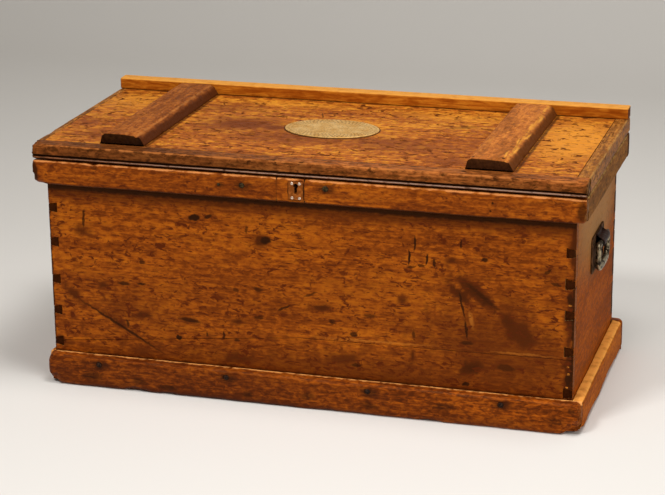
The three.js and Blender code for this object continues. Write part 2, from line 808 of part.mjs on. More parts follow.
// One leaf of a hinge round its own axis: up is 1 for the lid's leaf and -1 for the case's
function hingeLeaf(up, height, ownKnuckles, extras) {
  const knuckle = hingeWidth / hingeKnuckles;
  const left = -hingeWidth / 2;
  const front = -knuckleRadius;
  const back = front + leafThickness;
  const clear = knuckleRadius + runningGap;
  const slab = (x0, x1, from, to) =>
    block([x0, front, Math.min(up * from, up * to)], [x1, back, Math.max(up * from, up * to)]);
  const plate = slab(left, -left, clear, height);
  const parts = ownKnuckles.flatMap((i) => {
    const from = left + i * knuckle + joinGap / 2;
    const to = from + knuckle - joinGap;
    const barrel = roundBar(knuckleRadius, to - from).rotateZ(Math.PI / 2);
    const neck = slab(from, to, 0, clear + leafThickness);
    return [neck, barrel.translate((from + to) / 2, 0, 0), ...extras(from, to)];
  });
  const boreLength = hingeWidth + 2 * cutOverrun;
  const bore = roundBar(hingePinRadius + joinGap, boreLength).rotateZ(Math.PI / 2);
  return cut(join(plate, parts), [bore]);
}

function buildHinge(name, across) {
  const onCase = [0, 2, 4];
  const onLid = [1, 3];
  const axis = [across, hingeAxisBack, hingeAxisHeight];
  const lip = (from, to) => {
    const tongue = block([from, -stopHalf, -stopReach], [to, stopHalf, -knuckleRadius / 2]);
    return [tongue.rotateX(stopAngle)];
  };
  const caseLeaf = hingeLeaf(-1, caseLeafHeight, onCase, () => []);
  const lidLeaf = hingeLeaf(1, lidLeafHeight, onLid, lip);
  place(chest, `${name}_hinge_case_leaf`, caseLeaf, darkIron, axis);
  place(lid, `${name}_hinge_lid_leaf`, lidLeaf, darkIron, axis);
  const length = hingeWidth + 2 * joinGap;
  const headMiddle = length / 2 + hingePinHeadThickness / 2;
  const shaft = roundBar(hingePinRadius, length + hingePinHeadThickness);
  const heads = [-1, 1].map((side) =>
    roundBar(hingePinHead, hingePinHeadThickness).translate(0, side * headMiddle, 0),
  );
  const pin = join(shaft, heads).rotateZ(Math.PI / 2);
  place(chest, `${name}_hinge_pin`, pin, darkIron, axis);
}

// The bail: a round bar bent into a closed D, thicker along the grip, hanging in the Y-Z plane
function bailGeometry() {
  const half = bailHalfWidth;
  const path = [];
  const arc = (middle, up, radius, from, grip) => {
    for (let i = 0; i <= bailArcSteps; i += 1) {
      const angle = from + ((Math.PI / 2) * i) / bailArcSteps;
      const share = grip ? i / bailArcSteps : 0;
      path.push({ y: middle + radius * Math.cos(angle), z: up + radius * Math.sin(angle), grip: share });
    }
  };
  const run = (points, count) => {
    for (let i = 1; i < count; i += 1) path.push(points(i / count));
  };
  const top = bailTopRadius;
  const low = bailBottomRadius;
  const flatBottom = half - low;
  const flatTop = half - top;
  arc(half - top, -top, top, 0, false);
  run((t) => ({ y: flatTop * (1 - 2 * t), z: 0, grip: 0 }), bailBarSteps);
  arc(-half + top, -top, top, Math.PI / 2, false);
  arc(-half + low, -bailDrop + low, low, Math.PI, false);
  const bulge = (t) => Math.sin(Math.PI * t);
  run((t) => ({ y: flatBottom * (2 * t - 1), z: -bailDrop, grip: bulge(t) }), bailGripSteps);
  arc(half - low, -bailDrop + low, low, (3 * Math.PI) / 2, false);
  const count = path.length;
  const positions = [];
  path.forEach((point, i) => {
    const before = path[(i + count - 1) % count];
    const after = path[(i + 1) % count];
    const length = Math.hypot(after.y - before.y, after.z - before.z);
    const outY = (after.z - before.z) / length;
    const outZ = -(after.y - before.y) / length;
    const radius = bailBarRadius + (bailGripRadius - bailBarRadius) * point.grip;
    for (let k = 0; k < bailSides; k += 1) {
      const angle = (2 * Math.PI * k) / bailSides;
      const out = radius * Math.cos(angle);
      positions.push(radius * Math.sin(angle), point.y + out * outY, point.z + out * outZ);
    }
  });
  const index = [];
  for (let i = 0; i < count; i += 1) {
    const next = (i + 1) % count;
    for (let k = 0; k < bailSides; k += 1) {
      const turn = (k + 1) % bailSides;
      const a = i * bailSides + k;
      const b = next * bailSides + k;
      const c = next * bailSides + turn;
      const d = i * bailSides + turn;
      index.push(a, b, c, a, c, d);
    }
  }
  const geometry = new THREE.BufferGeometry();
  geometry.setAttribute("position", new THREE.Float32BufferAttribute(positions, 3));
  geometry.setIndex(index);
  geometry.computeVertexNormals();
  return geometry;
}

// A handle drawn for the right end, with +X outwards, and its origin on the end board's face
function buildHandle(name, side) {
  const handle = new THREE.Group();
  handle.position.set(side * halfWidth, caseDepth / 2, handleHeight);
  if (side < 0) handle.rotation.z = Math.PI;
  chest.add(handle);
  const radius = handlePlateRadius;
  const plateShape = roundedRectangle(
    [-handlePlateWidth / 2, -handlePlateBelow],
    [handlePlateWidth / 2, handlePlateAbove],
    [radius, radius, radius, radius],
  );
  const plateOuter = joinGap + handlePlateThickness;
  place(handle, `${name}_handle_plate`, alongX(plateShape, joinGap, plateOuter), darkIron);

  const seat = plateOuter + joinGap;
  const flangeOuter = seat + keeperThickness;
  const innerRadius = bailBarRadius + runningGap;
  const outerRadius = innerRadius + keeperThickness;
  const tip = outerRadius + keeperFlange;
  const reach = handlePivotReach;
  const quarter = Math.PI / 2;
  const section = new THREE.Shape();
  section.moveTo(seat, tip);
  section.lineTo(seat, innerRadius);
  section.absarc(reach, 0, innerRadius, quarter, -quarter, true);
  section.lineTo(seat, -innerRadius);
  section.lineTo(seat, -tip);
  section.lineTo(flangeOuter, -tip);
  section.lineTo(flangeOuter, -outerRadius);
  section.absarc(reach, 0, outerRadius, -quarter, quarter, false);
  section.lineTo(flangeOuter, outerRadius);
  section.lineTo(flangeOuter, tip);
  const keeper = alongY(section, -keeperWidth / 2, keeperWidth / 2, roundSteps);
  place(handle, `${name}_handle_keeper`, keeper, darkIron);
  place(handle, `${name}_handle_bail`, bailGeometry(), darkIron, [handlePivotReach, 0, 0]);
}

buildFront();
buildBack();
buildEnds();
buildBottom();
buildPlinth();
buildBand();
buildScutcheon();
buildLid();
buildRailAndBattens();
buildPlaque();
buildLock();
buildStrike();
buildHinge("left", hingeFromEnd - halfWidth);
buildHinge("right", halfWidth - hingeFromEnd);
buildHandle("left", -1);
buildHandle("right", 1);

chest.position.y = -middleBack;
const part = new THREE.Group();
part.add(chest);
export default part;
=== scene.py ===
"""The looks of an old pine sea chest: worn waxed boards, tarnished brass and forged iron.

Everything is built in metres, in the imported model's own frame. The sizes and places handed to
a function are in millimetres, apart from a board's own corners and points.
"""

import json
import math

import bmesh
import bpy
import numpy as np
from mathutils import Matrix, Vector


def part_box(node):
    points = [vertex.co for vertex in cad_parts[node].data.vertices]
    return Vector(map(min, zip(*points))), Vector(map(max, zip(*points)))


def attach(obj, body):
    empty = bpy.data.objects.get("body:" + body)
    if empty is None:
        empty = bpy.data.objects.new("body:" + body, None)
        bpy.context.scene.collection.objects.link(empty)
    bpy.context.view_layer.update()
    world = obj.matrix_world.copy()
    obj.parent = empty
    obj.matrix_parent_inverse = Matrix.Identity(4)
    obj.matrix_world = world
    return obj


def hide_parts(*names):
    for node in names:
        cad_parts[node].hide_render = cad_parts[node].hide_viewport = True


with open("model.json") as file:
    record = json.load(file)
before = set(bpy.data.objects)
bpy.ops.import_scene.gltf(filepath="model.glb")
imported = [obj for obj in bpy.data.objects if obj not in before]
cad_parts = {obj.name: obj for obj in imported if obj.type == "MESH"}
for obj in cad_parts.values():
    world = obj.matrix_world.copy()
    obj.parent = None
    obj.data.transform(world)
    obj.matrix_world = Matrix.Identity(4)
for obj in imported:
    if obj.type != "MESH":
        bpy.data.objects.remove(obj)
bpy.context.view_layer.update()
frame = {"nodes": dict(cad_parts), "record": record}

MM = 0.001
BODIES = frame["record"]["behaviour"]["bodies"]


def linear(colour):
    """An sRGB hex colour as the linear colour that a shader takes."""
    channels = [int(colour[i:i + 2], 16) / 255 for i in (1, 3, 5)]
    lit = [c / 12.92 if c <= 0.04045 else ((c + 0.055) / 1.055) ** 2.4 for c in channels]
    return (*lit, 1.0)


def box_mm(node):
    """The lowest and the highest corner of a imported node's box."""
    return [np.array(corner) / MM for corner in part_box(node)]


def add(tree, kind, inputs=None, **settings):
    """Adds one shader node, with its settings, its values and the links that come into it."""
    node = tree.nodes.new("ShaderNode" + kind)
    for name, value in settings.items():
        setattr(node, name, value)
    for name, value in (inputs or {}).items():
        if isinstance(value, bpy.types.Node):
            value = value.outputs[0]
        if isinstance(value, bpy.types.NodeSocket):
            tree.links.new(value, node.inputs[name])
        else:
            node.inputs[name].default_value = value
    return node


def new_finish(name):
    """An empty material and its node tree."""
    finish = bpy.data.materials.new(name)
    finish.use_nodes = True
    finish.node_tree.nodes.clear()
    return finish, finish.node_tree


def figure(tree, spot, run, along, across, detail=2.0, wander=0.0):
    """A figure in the wood drawn out along its grain, with the size of its streaks."""
    size = [1 / (across * MM)] * 3
    size["xyz".index(run)] = 1 / (along * MM)
    drawn = add(tree, "VectorMath", {0: spot, 1: size}, operation="MULTIPLY")
    inputs = {"Vector": drawn, "Scale": 1.0, "Detail": detail, "Roughness": 0.6, "Distortion": wander}
    return add(tree, "TexNoise", inputs)


# How far in front of and behind its face a mark reaches
MARK_DEPTH_MM = 9


def blemishes(tree, ragged, face, level, marks):
    """Knots, cracks and stains at their own places on a face, as one value.

    A mark is its place on the face, its half length and half width, its turn in degrees,
    how far its rim fades inwards from 0 to 1, and its strength.
    """
    first, second = ("xyz".index(axis) for axis in face)
    third = 3 - first - second
    total = None
    for x, y, reach, width, turn, fade, strength in marks:
        centre = [level * MM] * 3
        centre[first], centre[second] = x * MM, y * MM
        scale = [MARK_DEPTH_MM * MM] * 3
        scale[first], scale[second] = reach * MM, width * MM
        angle = [0.0] * 3
        angle[third] = math.radians(turn) * (-1 if third == 1 else 1)
        inputs = {"Vector": ragged, "Location": centre, "Rotation": angle, "Scale": scale}
        local = add(tree, "Mapping", inputs, vector_type="TEXTURE")
        away = add(tree, "VectorMath", {0: local}, operation="LENGTH").outputs["Value"]
        inputs = {"Value": away, "From Min": 1.0, "From Max": 1 - 0.75 * fade, "To Max": strength}
        shown = add(tree, "MapRange", inputs, interpolation_type="SMOOTHSTEP")
        if total is None:
            total = shown
        else:
            total = add(tree, "Math", {0: total, 1: shown}, operation="MAXIMUM")
    return total


def waxed_pine(name, run, tones, marks=(), face="xz", level=0.0, flecks=1.0, smudges=0.5, gloss=0.42,
               pale_marks=(), ragged_mm=5.0, long=1.0, wide=1.0, contrast=1.0, rub=0.75, patchy=0.5,
               wax=0.24, seed=0.0):
    """Old sawn and planed pine under years of wax.

    The wax gives it a satin gloss and the wood its golden streaks along the grain; dents and
    pores hold dark dirt, arrises are rubbed back to lighter wood, which on upper arrises is also
    a painted highlight, end grain drinks in the wax and goes dark, and faces that were never
    waxed stay pale and dry.
    """
    finish, tree = new_finish(name)
    coordinates = add(tree, "TexCoord")
    place = coordinates.outputs["Object"]
    spot = add(tree, "VectorMath", {0: place, 1: (seed, seed * 0.7, seed * 1.3)}).outputs[0]

    # Mottle 14 by 6.5 mm from planing across uneven grain, streaks 3.6 mm wide along it, a slow
    # change across the board, and a fine figure over them all
    mottle = figure(tree, spot, run, 14 * long, 6.5 * wide, 3.0, 0.5)
    streak = figure(tree, spot, run, 80 * long, 3.6 * wide, 3.0, 0.2)
    broad = figure(tree, spot, run, 230, 70, 2.0, 0.4)
    fine = figure(tree, spot, run, 13 * long, 1.8 * wide, 2.0, 0.3)
    mottle_tone = add(tree, "MapRange", {"Value": mottle, "From Min": 0.34, "From Max": 0.66})
    streak_tone = add(tree, "MapRange", {"Value": streak, "From Min": 0.34, "From Max": 0.66})
    broad_tone = add(tree, "MapRange", {"Value": broad, "From Min": 0.35, "From Max": 0.65})
    both = add(tree, "Mix", {0: 0.38, 2: mottle_tone, 3: streak_tone})
    tone = add(tree, "Mix", {0: 0.25, 2: both, 3: broad_tone})
    grained = add(tree, "Math", {0: fine, 1: 0.34, 2: tone}, operation="MULTIPLY_ADD")
    inputs = {"Value": grained, "From Min": 0.67 - 0.28 * contrast, "From Max": 0.67 + 0.02 * contrast}
    lower = add(tree, "MapRange", inputs)
    inputs = {"Value": grained, "From Min": 0.67 - 0.02 * contrast, "From Max": 0.67 + 0.28 * contrast}
    upper = add(tree, "MapRange", inputs)

    # Growth rings sawn nearly flat, which spreads their lines to about 29 mm apart
    winding = figure(tree, spot, run, 420, 90, 1.0).outputs["Color"]
    inputs = {0: winding, 1: (0.09, 0.09, 0.09), 2: spot}
    bent = add(tree, "VectorMath", inputs, operation="MULTIPLY_ADD")
    inputs = {"Vector": bent, "Scale": 11.0, "Distortion": 0.6, "Detail": 1.0, "Detail Scale": 2.0}
    rings = add(tree, "TexWave", inputs, wave_type="RINGS", rings_direction=run.upper(), wave_profile="SAW")
    inputs = {"Value": rings.outputs["Fac"], "From Min": 0.55, "To Max": 0.34}
    ring_lines = add(tree, "MapRange", inputs)

    # Dirt in dents and pores: short flecks in clusters, fine dashes, and broad smudges
    fleck = figure(tree, spot, run, 15 * long, 8.5 * wide, 3.0, 0.6)
    cluster = figure(tree, spot, run, 90, 45, 2.0)
    dash = figure(tree, spot, run, 19 * long, 4.0 * wide, 2.0, 0.5)
    smudge = figure(tree, spot, run, 46, 22, 4.0, 0.8)
    fleck_shape = add(tree, "MapRange", {"Value": fleck, "From Min": 0.555, "From Max": 0.65})
    inputs = {"Value": cluster, "From Min": 0.4, "From Max": 0.58, "To Min": 0.45 * flecks,
              "To Max": flecks}
    fleck_share = add(tree, "MapRange", inputs)
    flecked = add(tree, "Math", {0: fleck_shape, 1: fleck_share}, operation="MULTIPLY")
    inputs = {"Value": dash, "From Min": 0.6, "From Max": 0.68, "To Max": 0.8 * flecks}
    dashed = add(tree, "MapRange", inputs)
    dirt = add(tree, "Math", {0: flecked, 1: dashed}, operation="MAXIMUM")
    inputs = {"Value": smudge, "From Min": 0.52, "From Max": 0.72, "To Max": smudges}
    smudged = add(tree, "MapRange", inputs)

    # A film of old grime and of painted shade, and dark where it lies thick
    grime_and_shade = add(tree, "Attribute", attribute_name="grime_and_shade").outputs["Fac"]
    film = add(tree, "MapRange", {"Value": grime_and_shade, "From Max": 0.6})
    thick = add(tree, "MapRange", {"Value": grime_and_shade, "From Min": 0.5, "To Max": 0.85})

    # Each layer of tone is a share and a tint laid over the ones before it
    layers = [(lower, tones["wood"]), (upper, tones["pale"]), (ring_lines, tones["deep"]),
              (smudged, tones["smudge"]), (film, tones["smudge"]), (thick, tones["mark"])]

    # Marks at their own places, with rims made ragged by a pattern of 9 mm
    jitter = add(tree, "TexNoise", {"Vector": place, "Scale": 110.0, "Detail": 3.0}).outputs["Color"]
    centred = add(tree, "VectorMath", {0: jitter, 1: (-0.5, -0.5, -0.5)})
    inputs = {0: centred, 1: [ragged_mm * MM] * 3, 2: place}
    ragged = add(tree, "VectorMath", inputs, operation="MULTIPLY_ADD").outputs[0]
    if pale_marks:
        shown = blemishes(tree, ragged, face, level, pale_marks)
        layers.append((shown, tones.get("glint", tones["worn"])))
    layers.append((dirt, tones["fleck"]))
    if marks:
        layers.append((blemishes(tree, ragged, face, level, marks), tones["mark"]))

    # End grain, on the faces that look along the board, its pores drawn coarser than real
    normal = add(tree, "SeparateXYZ", {0: coordinates.outputs["Normal"]}).outputs["xyz".index(run)]
    lengthwise = add(tree, "Math", {0: normal}, operation="ABSOLUTE")
    inputs = {"Value": lengthwise, "From Min": 0.45, "From Max": 0.8, "To Max": 0.92}
    end_share = add(tree, "MapRange", inputs)
    pores = add(tree, "TexNoise", {"Vector": spot, "Scale": 210.0, "Detail": 4.0})
    pore_share = add(tree, "MapRange", {"Value": pores, "From Min": 0.36, "From Max": 0.6})
    inputs = {0: pore_share, 6: linear(tones.get("pore", tones["mark"])), 7: linear(tones["end"])}
    layers.append((end_share, add(tree, "Mix", inputs, data_type="RGBA").outputs[2]))

    # Arrises rubbed light in patches of 14 mm, on upper arrises also a painted highlight, and faces that
    # the wax never reached
    rubbed = add(tree, "Attribute", attribute_name="rubbed").outputs["Fac"]
    patches = add(tree, "TexNoise", {"Vector": spot, "Scale": 70.0, "Detail": 3.0})
    inputs = {"Value": patches, "From Min": 0.3, "From Max": 0.6, "To Min": -patchy, "To Max": 0.6 * patchy}
    uneven = add(tree, "MapRange", inputs)
    rubbed_and_highlit_share = add(tree, "Math", {0: rubbed, 1: uneven})
    inputs = {"Value": rubbed_and_highlit_share, "From Min": 0.55, "From Max": 1.05, "To Max": rub}
    layers.append((add(tree, "MapRange", inputs), tones["worn"]))
    bare = add(tree, "Attribute", attribute_name="bare").outputs["Fac"]
    inputs = {0: tone, 6: linear("#9a7040"), 7: linear("#cfa76c")}
    layers.append((bare, add(tree, "Mix", inputs, data_type="RGBA").outputs[2]))

    colour = linear(tones["deep"])
    for share, tint in layers:
        tint = linear(tint) if isinstance(tint, str) else tint
        colour = add(tree, "Mix", {0: share, 6: colour, 7: tint}, data_type="RGBA").outputs[2]

    # Dirt and bare wood are dull, and end grain has no sheen of wax
    rough_wood = add(tree, "MapRange", {"Value": both, "To Min": gloss - 0.06, "To Max": gloss + 0.1})
    dulled = add(tree, "Math", {0: dirt, 1: 0.18, 2: rough_wood}, operation="MULTIPLY_ADD")
    inputs = {0: bare, 1: 0.3, 2: dulled}
    roughness = add(tree, "Math", inputs, operation="MULTIPLY_ADD", use_clamp=True)
    inputs = {"Value": lengthwise, "From Min": 0.3, "From Max": 0.6, "To Min": wax,
              "To Max": min(wax, 0.02)}
    sheen = add(tree, "MapRange", inputs)
    height = add(tree, "Math", {0: dirt, 1: -0.7, 2: both}, operation="MULTIPLY_ADD")
    bump = add(tree, "Bump", {"Height": height, "Strength": 0.55, "Distance": 0.0006})
    inputs = {"Base Color": colour, "Roughness": roughness, "Normal": bump, "IOR": 1.5,
              "Specular IOR Level": sheen, "Specular Tint": linear("#ffc486")}
    add(tree, "OutputMaterial", {"Surface": add(tree, "BsdfPrincipled", inputs)})
    return finish


TONE_NAMES = ("pale", "wood", "deep", "smudge", "fleck", "mark", "end", "worn")


def wood_tones(colours, **others):
    """The tones of one kind of board, from its colours in the order of TONE_NAMES."""
    return dict(zip(TONE_NAMES, colours.split()), **others)


FRONT_TONES = wood_tones("#b35f10 #98490d #6d2f07 #562306 #561f06 #280e03 #8a4b1c #c07326", pore="#643310")
BAND_TONES = wood_tones("#ac5a11 #8d420c #682c07 #582509 #501c06 #260d03 #80542c #d48648", pore="#573418")
PLINTH_TONES = wood_tones("#b0590f #863c09 #542105 #451a0a #3f1507 #220c05 #8a4c20 #e69c54", pore="#5c2e12")
SIDE_TONES = wood_tones("#a6560f #8f4208 #713405 #602d07 #4f2208 #100603 #240f07 #a87f50")
# The plinth ends' rubbed tone is extra bright: wear and painted light on their tops together
PLINTH_SIDE_TONES = wood_tones("#bd6a1a #a45312 #803d0a #6f350b #5a2a0a #2c1306 #6a3c18 #eda04a")
BAND_SIDE_TONES = wood_tones("#a06c34 #845427 #65401d #593616 #40240e #241206 #4a2a14 #a8834c")
BACK_TONES = wood_tones("#99642c #7d4b1d #5d3412 #4c2a10 #3d1f0c #2a1508 #4b2b16 #a87638")
LID_TONES = wood_tones("#cc8427 #a95b1a #7d3c10 #743713 #57270b #2e1204 #6a3a18 #d48829")
LID_SIDE_TONES = wood_tones("#ae7230 #8a5220 #653a12 #573112 #40220b #281306 #5a3518 #b28a4c")
LID_EDGE_TONES = wood_tones("#b0672e #8f4c20 #5a300f #3c1e0a #301506 #170802 #7d5530 #ac6630",
                            glint="#917666", pore="#553519")
RAIL_TONES = wood_tones("#c4761e #a85a13 #8a4008 #7c3a10 #5a2406 #381605 #5c2c12 #d89640")
LEFT_BATTEN_TONES = wood_tones("#a8642a #8c4a1b #62300e #572a10 #3f1c0a #0a0503 #190d08 #ab703a")
RIGHT_BATTEN_TONES = wood_tones("#c67a34 #a95e26 #7a4418 #6c3a15 #54260c #160a05 #2a150c #d99538")

# Marks for blemishes and patches for lay_grime_and_shade. A half length or half width of 900 or more
# runs past both ends of its board.
FRONT_MARKS = [
    # Knots, dents and a scratch on the left, and the long crack that falls from the left end
    (-67, 293, 12, 9, 10, 0.6, 1), (-102, 309, 4, 10, 0, 0.8, 0.7), (-195, 324, 13, 6.5, 4, 0.5, 1),
    (-170, 327, 9, 3.5, 30, 0.6, 0.85), (-294, 235, 7, 4.5, 0, 0.7, 0.8),
    (-329, 193, 15, 5, 0, 0.7, 0.85), (-296, 195, 11, 3, 0, 0.6, 0.85),
    (-400, 306, 21, 3.4, 86, 0.7, 0.85), (-339, 114, 116, 3.4, -29.3, 0.8, 0.9),
    # Knots and dents along the middle
    (-325, 120, 3, 9, 10, 0.6, 0.8), (-209, 136, 28, 5, -6, 0.7, 0.8), (-230, 102, 6, 5.5, 0, 0.4, 1),
    (-178, 113, 3, 5, 0, 0.6, 0.8), (-147, 114, 2.4, 9, 0, 0.5, 0.85), (-123, 107, 7, 4, 0, 0.7, 0.8),
    (-82, 152, 13, 5, 8, 0.8, 0.7), (-123, 199, 7, 5, 0, 0.7, 0.7), (-83, 204, 13, 5, -10, 0.8, 0.7),
    (-37, 174, 17, 3, 28, 0.6, 0.85), (10, 202, 16, 2.6, 25, 0.7, 0.7), (49, 157, 8, 6, 0, 0.7, 0.75),
    # A group of upright and level scratches
    (194, 308.7, 17, 2.6, 88, 0.6, 0.95), (184, 283.4, 17, 2.8, 88, 0.6, 1),
    (188, 267, 9, 2.4, 3, 0.5, 0.8), (214.8, 282.5, 13, 2.8, 82, 0.6, 0.95),
    (206, 271, 9, 2.3, 4, 0.5, 0.8), (227, 276.5, 10, 2.3, 90, 0.5, 0.85),
    (272.4, 314.3, 10, 2.3, 90, 0.5, 0.9), (313, 290, 7, 5.5, 0, 0.6, 0.9),
    # The slanting stain at the right, with cracks and knots beside it
    (312, 224, 56, 5, -38, 0.9, 0.55), (275, 208, 28, 2.8, -78, 0.6, 0.9),
    (283, 164, 22, 2.8, -82, 0.6, 0.9), (284, 141, 15, 5, 0, 0.8, 0.75), (283, 67, 8, 4, 10, 0.5, 0.95),
    (351, 103, 19, 7, -4, 0.5, 0.6), (192, 147, 4, 10, 0, 0.8, 0.75), (87, 137, 8, 6, 0, 0.6, 0.85),
    (91, 82, 12, 5, 0, 0.8, 0.75), (116, 174, 16, 5, 0, 0.8, 0.65), (419, 278, 9, 3, 40, 0.6, 0.75),
    (433, 257, 12, 3.4, -15, 0.6, 0.75), (457, 232, 7, 12, 8, 0.6, 0.8), (456, 140, 8, 12, 6, 0.6, 0.8),
    (457, 92, 7, 12, -5, 0.6, 0.85),
    # Dirt down both ends, a painted shadow under the band, and painted shade in the corner over the plinth
    (463.5, 190, 3, 150, 0, 0.6, 0.8), (-464, 200, 3, 180, 0, 0.6, 0.8),
    (0, 361.5, 3000, 10, 0, 0.9, 0.95), (0, 55, 3000, 7, 0, 1, 0.7),
]
# Stains and dirt, a painted shadow under the band (the row 354 high and 3000 long), and broad patches that
# make the wall darker towards the bottom and the lower right
FRONT_GRIME_AND_SHADE = [
    (340, 130, 250, 130, -12, 1, 0.46), (60, 40, 900, 105, 1, 1, 0.48), (-120, 74, 64, 26, 0, 1, 0.6),
    (70, 90, 70, 22, 4, 1, 0.58), (-300, 68, 50, 20, 0, 1, 0.5), (365, 200, 80, 60, -40, 1, 0.35),
    (0, 354, 3000, 30, 0, 1, 0.42), (-300, 150, 170, 70, -20, 1, 0.25), (0, 190, 900, 90, 3, 1, 0.12),
    (-78, 290, 20, 20, 0, 1, 0.75), (-367, 187, 20, 10, 0, 1, 0.7), (-403, 282, 30, 14, -10, 1, 0.6),
    (-425, 165, 38, 16, -40, 1, 0.65), (-345, 122, 70, 14, -31, 1, 0.6), (-294, 137, 32, 12, 3, 1, 0.75),
    (-209, 134, 30, 10, -6, 1, 0.6), (-120, 141, 18, 11, 0, 1, 0.75), (28, 180, 34, 10, 3, 1, 0.75),
    (258, 284, 15, 10, 0, 1, 0.7), (300, 230, 70, 19, -38, 0.9, 0.82), (375, 165, 80, 46, -35, 1, 0.66),
    (270, 226, 46, 14, -42, 0.9, 0.78), (356, 184, 42, 24, -45, 1, 0.72),
    (292, 97, 42, 22, 15, 0.9, 0.85), (192, 110, 8, 24, 0, 1, 0.7), (172, 207, 16, 17, 0, 1, 0.6),
    (430, 270, 50, 34, 0, 1, 0.3), (463, 205, 20, 80, 0, 1, 0.95), (463, 95, 24, 85, 0, 1, 1),
    (463, 330, 13, 80, 0, 1, 0.75), (-458, 190, 11, 12, 0, 1, 0.8), (-455, 76, 14, 14, 0, 0.9, 0.9),
    (-460, 322, 10, 14, 0, 1, 0.65),
]
FRONT_PALE_MARKS = [
    (120, 128, 140, 3, 1, 0.9, 0.42), (380, 130, 70, 3, 0.5, 0.9, 0.35), (291, 183, 5, 22, 12, 1, 0.45),
    (457, 223, 3.2, 2.2, 20, 0.4, 1), (455, 201, 3.4, 1.9, -20, 0.4, 1), (453, 149, 3, 2, 30, 0.4, 0.9),
    (456, 114, 3, 2, 0, 0.4, 1), (457, 101, 2.8, 2.2, 40, 0.4, 1), (455, 79, 3.2, 1.8, 0, 0.4, 0.9),
]
# The first three marks are painted shadows: along the right foot of each batten and along the foot of the
# back rail
LID_MARKS = [
    (-284, -5, 5, 3000, 0, 1, 0.7), (359, -5, 5, 3000, 0, 1, 0.75), (0, 190, 3000, 8, 0, 0.9, 0.75),
    (-52, 84, 27, 2.4, -70, 0.7, 0.7), (210, 60, 40, 12, 20, 0.9, 0.4),
]
LID_GRIME = [
    (-170, -10, 130, 80, 6, 1, 0.6), (-110, -20, 60, 40, 0, 1, 0.62), (-60, -80, 180, 60, 0, 1, 0.45),
    (120, -80, 160, 70, -6, 1, 0.42), (-230, 100, 90, 50, 14, 1, 0.35), (-400, -140, 70, 50, 10, 1, 0.4),
    (-450, -60, 40, 60, 0, 1, 0.35), (240, -160, 60, 40, 0, 1, 0.35), (-190, -200, 330, 24, 0, 1, 0.35),
]
LID_FRONT_GRIME = [
    (-260, 425, 420, 70, 0, 1, 0.34), (330, 424, 120, 60, 0, 1, 0.2),
]
LID_PALE_MARKS = [
    (420, 20, 90, 190, 0, 1, 0.75), (-420, 100, 90, 80, 0, 1, 0.5), (200, 130, 180, 40, 0, 1, 0.4),
    (-120, 150, 160, 30, 0, 1, 0.4),
]
# The first two marks are painted shade in the quirk over the bead and in the gap under it
LID_FRONT_MARKS = [
    (0, 420.1, 9000, 2.4, 0, 0.4, 1), (0, 413.4, 9000, 2.3, 0, 0.4, 1), (2, 439, 9, 5, 0, 0.8, 0.7),
    (482, 428, 10, 14, 0, 0.8, 0.6),
]
# A painted highlight along the bead, in the glint tone
BEAD_PAINTED_HIGHLIGHT = [
    (320, 416.9, 1000, 1.3, 0, 0.7, 0.9),
]
# The last mark is painted shade along the band's rounded underside
BAND_MARKS = [
    (328.5, 394.6, 2.4, 2.4, 0, 0.4, 0.95), (325.2, 380.7, 2.2, 2.2, 0, 0.4, 0.85),
    (476, 390, 12, 24, 0, 0.8, 0.75), (-480, 388, 8, 28, 0, 0.7, 0.9), (-371, 410, 3.4, 2.6, 0, 0.3, 1),
    (-368, 404, 9, 4, 0, 0.8, 0.5), (0, 367, 3000, 6.5, 0, 1, 0.95),
]
RIGHT_BATTEN_MARKS = [
    (286, -185, 3, 4, 0, 0.5, 0.8), (336, -183, 3, 4, 0, 0.5, 0.8), (290, 178, 3, 4, 0, 0.5, 0.7),
    (341, -90, 1.6, 60, 3, 0.8, 0.5),
]
RIGHT_BATTEN_CURLS = [
    (336, -160, 3, 28, 3, 0.9, 0.7), (345, -125, 3.2, 34, -3, 0.9, 0.75),
    (338, -75, 2.8, 26, 5, 0.9, 0.6), (346, -30, 3.2, 36, -4, 0.9, 0.75), (339, 30, 3, 28, 4, 0.9, 0.6),
    (345, 90, 3.6, 36, 0, 0.9, 0.7), (340, 150, 3.6, 20, 0, 0.9, 0.6),
]
PLINTH_MARKS = [
    (-388, 22, 26, 12, 6, 1, 0.7), (-300, 20, 20, 8, -8, 1, 0.6), (-247, 14, 24, 7, 0, 0.9, 0.7),
    (-100, 16, 14, 8, 10, 0.9, 0.65), (10, 24, 20, 10, 0, 1, 0.6), (120, 18, 22, 9, -6, 1, 0.6),
    (250, 30, 30, 10, 4, 1, 0.55), (440, 24, 24, 13, 0, 1, 0.42), (466, 44, 9, 8, 0, 0.7, 0.6),
]
PLINTH_GRIME = [
    (-180, 0, 660, 22, 0, 1, 0.55), (-200, 24, 520, 90, 0, 1, 0.24), (-440, 24, 50, 34, 0, 1, 0.35),
    (-365, 38, 40, 20, 0, 1, 0.3), (290, 8, 260, 12, 0, 1, 0.3), (-120, 36, 50, 20, 0, 1, 0.35),
    (130, 36, 50, 20, 0, 1, 0.3),
]


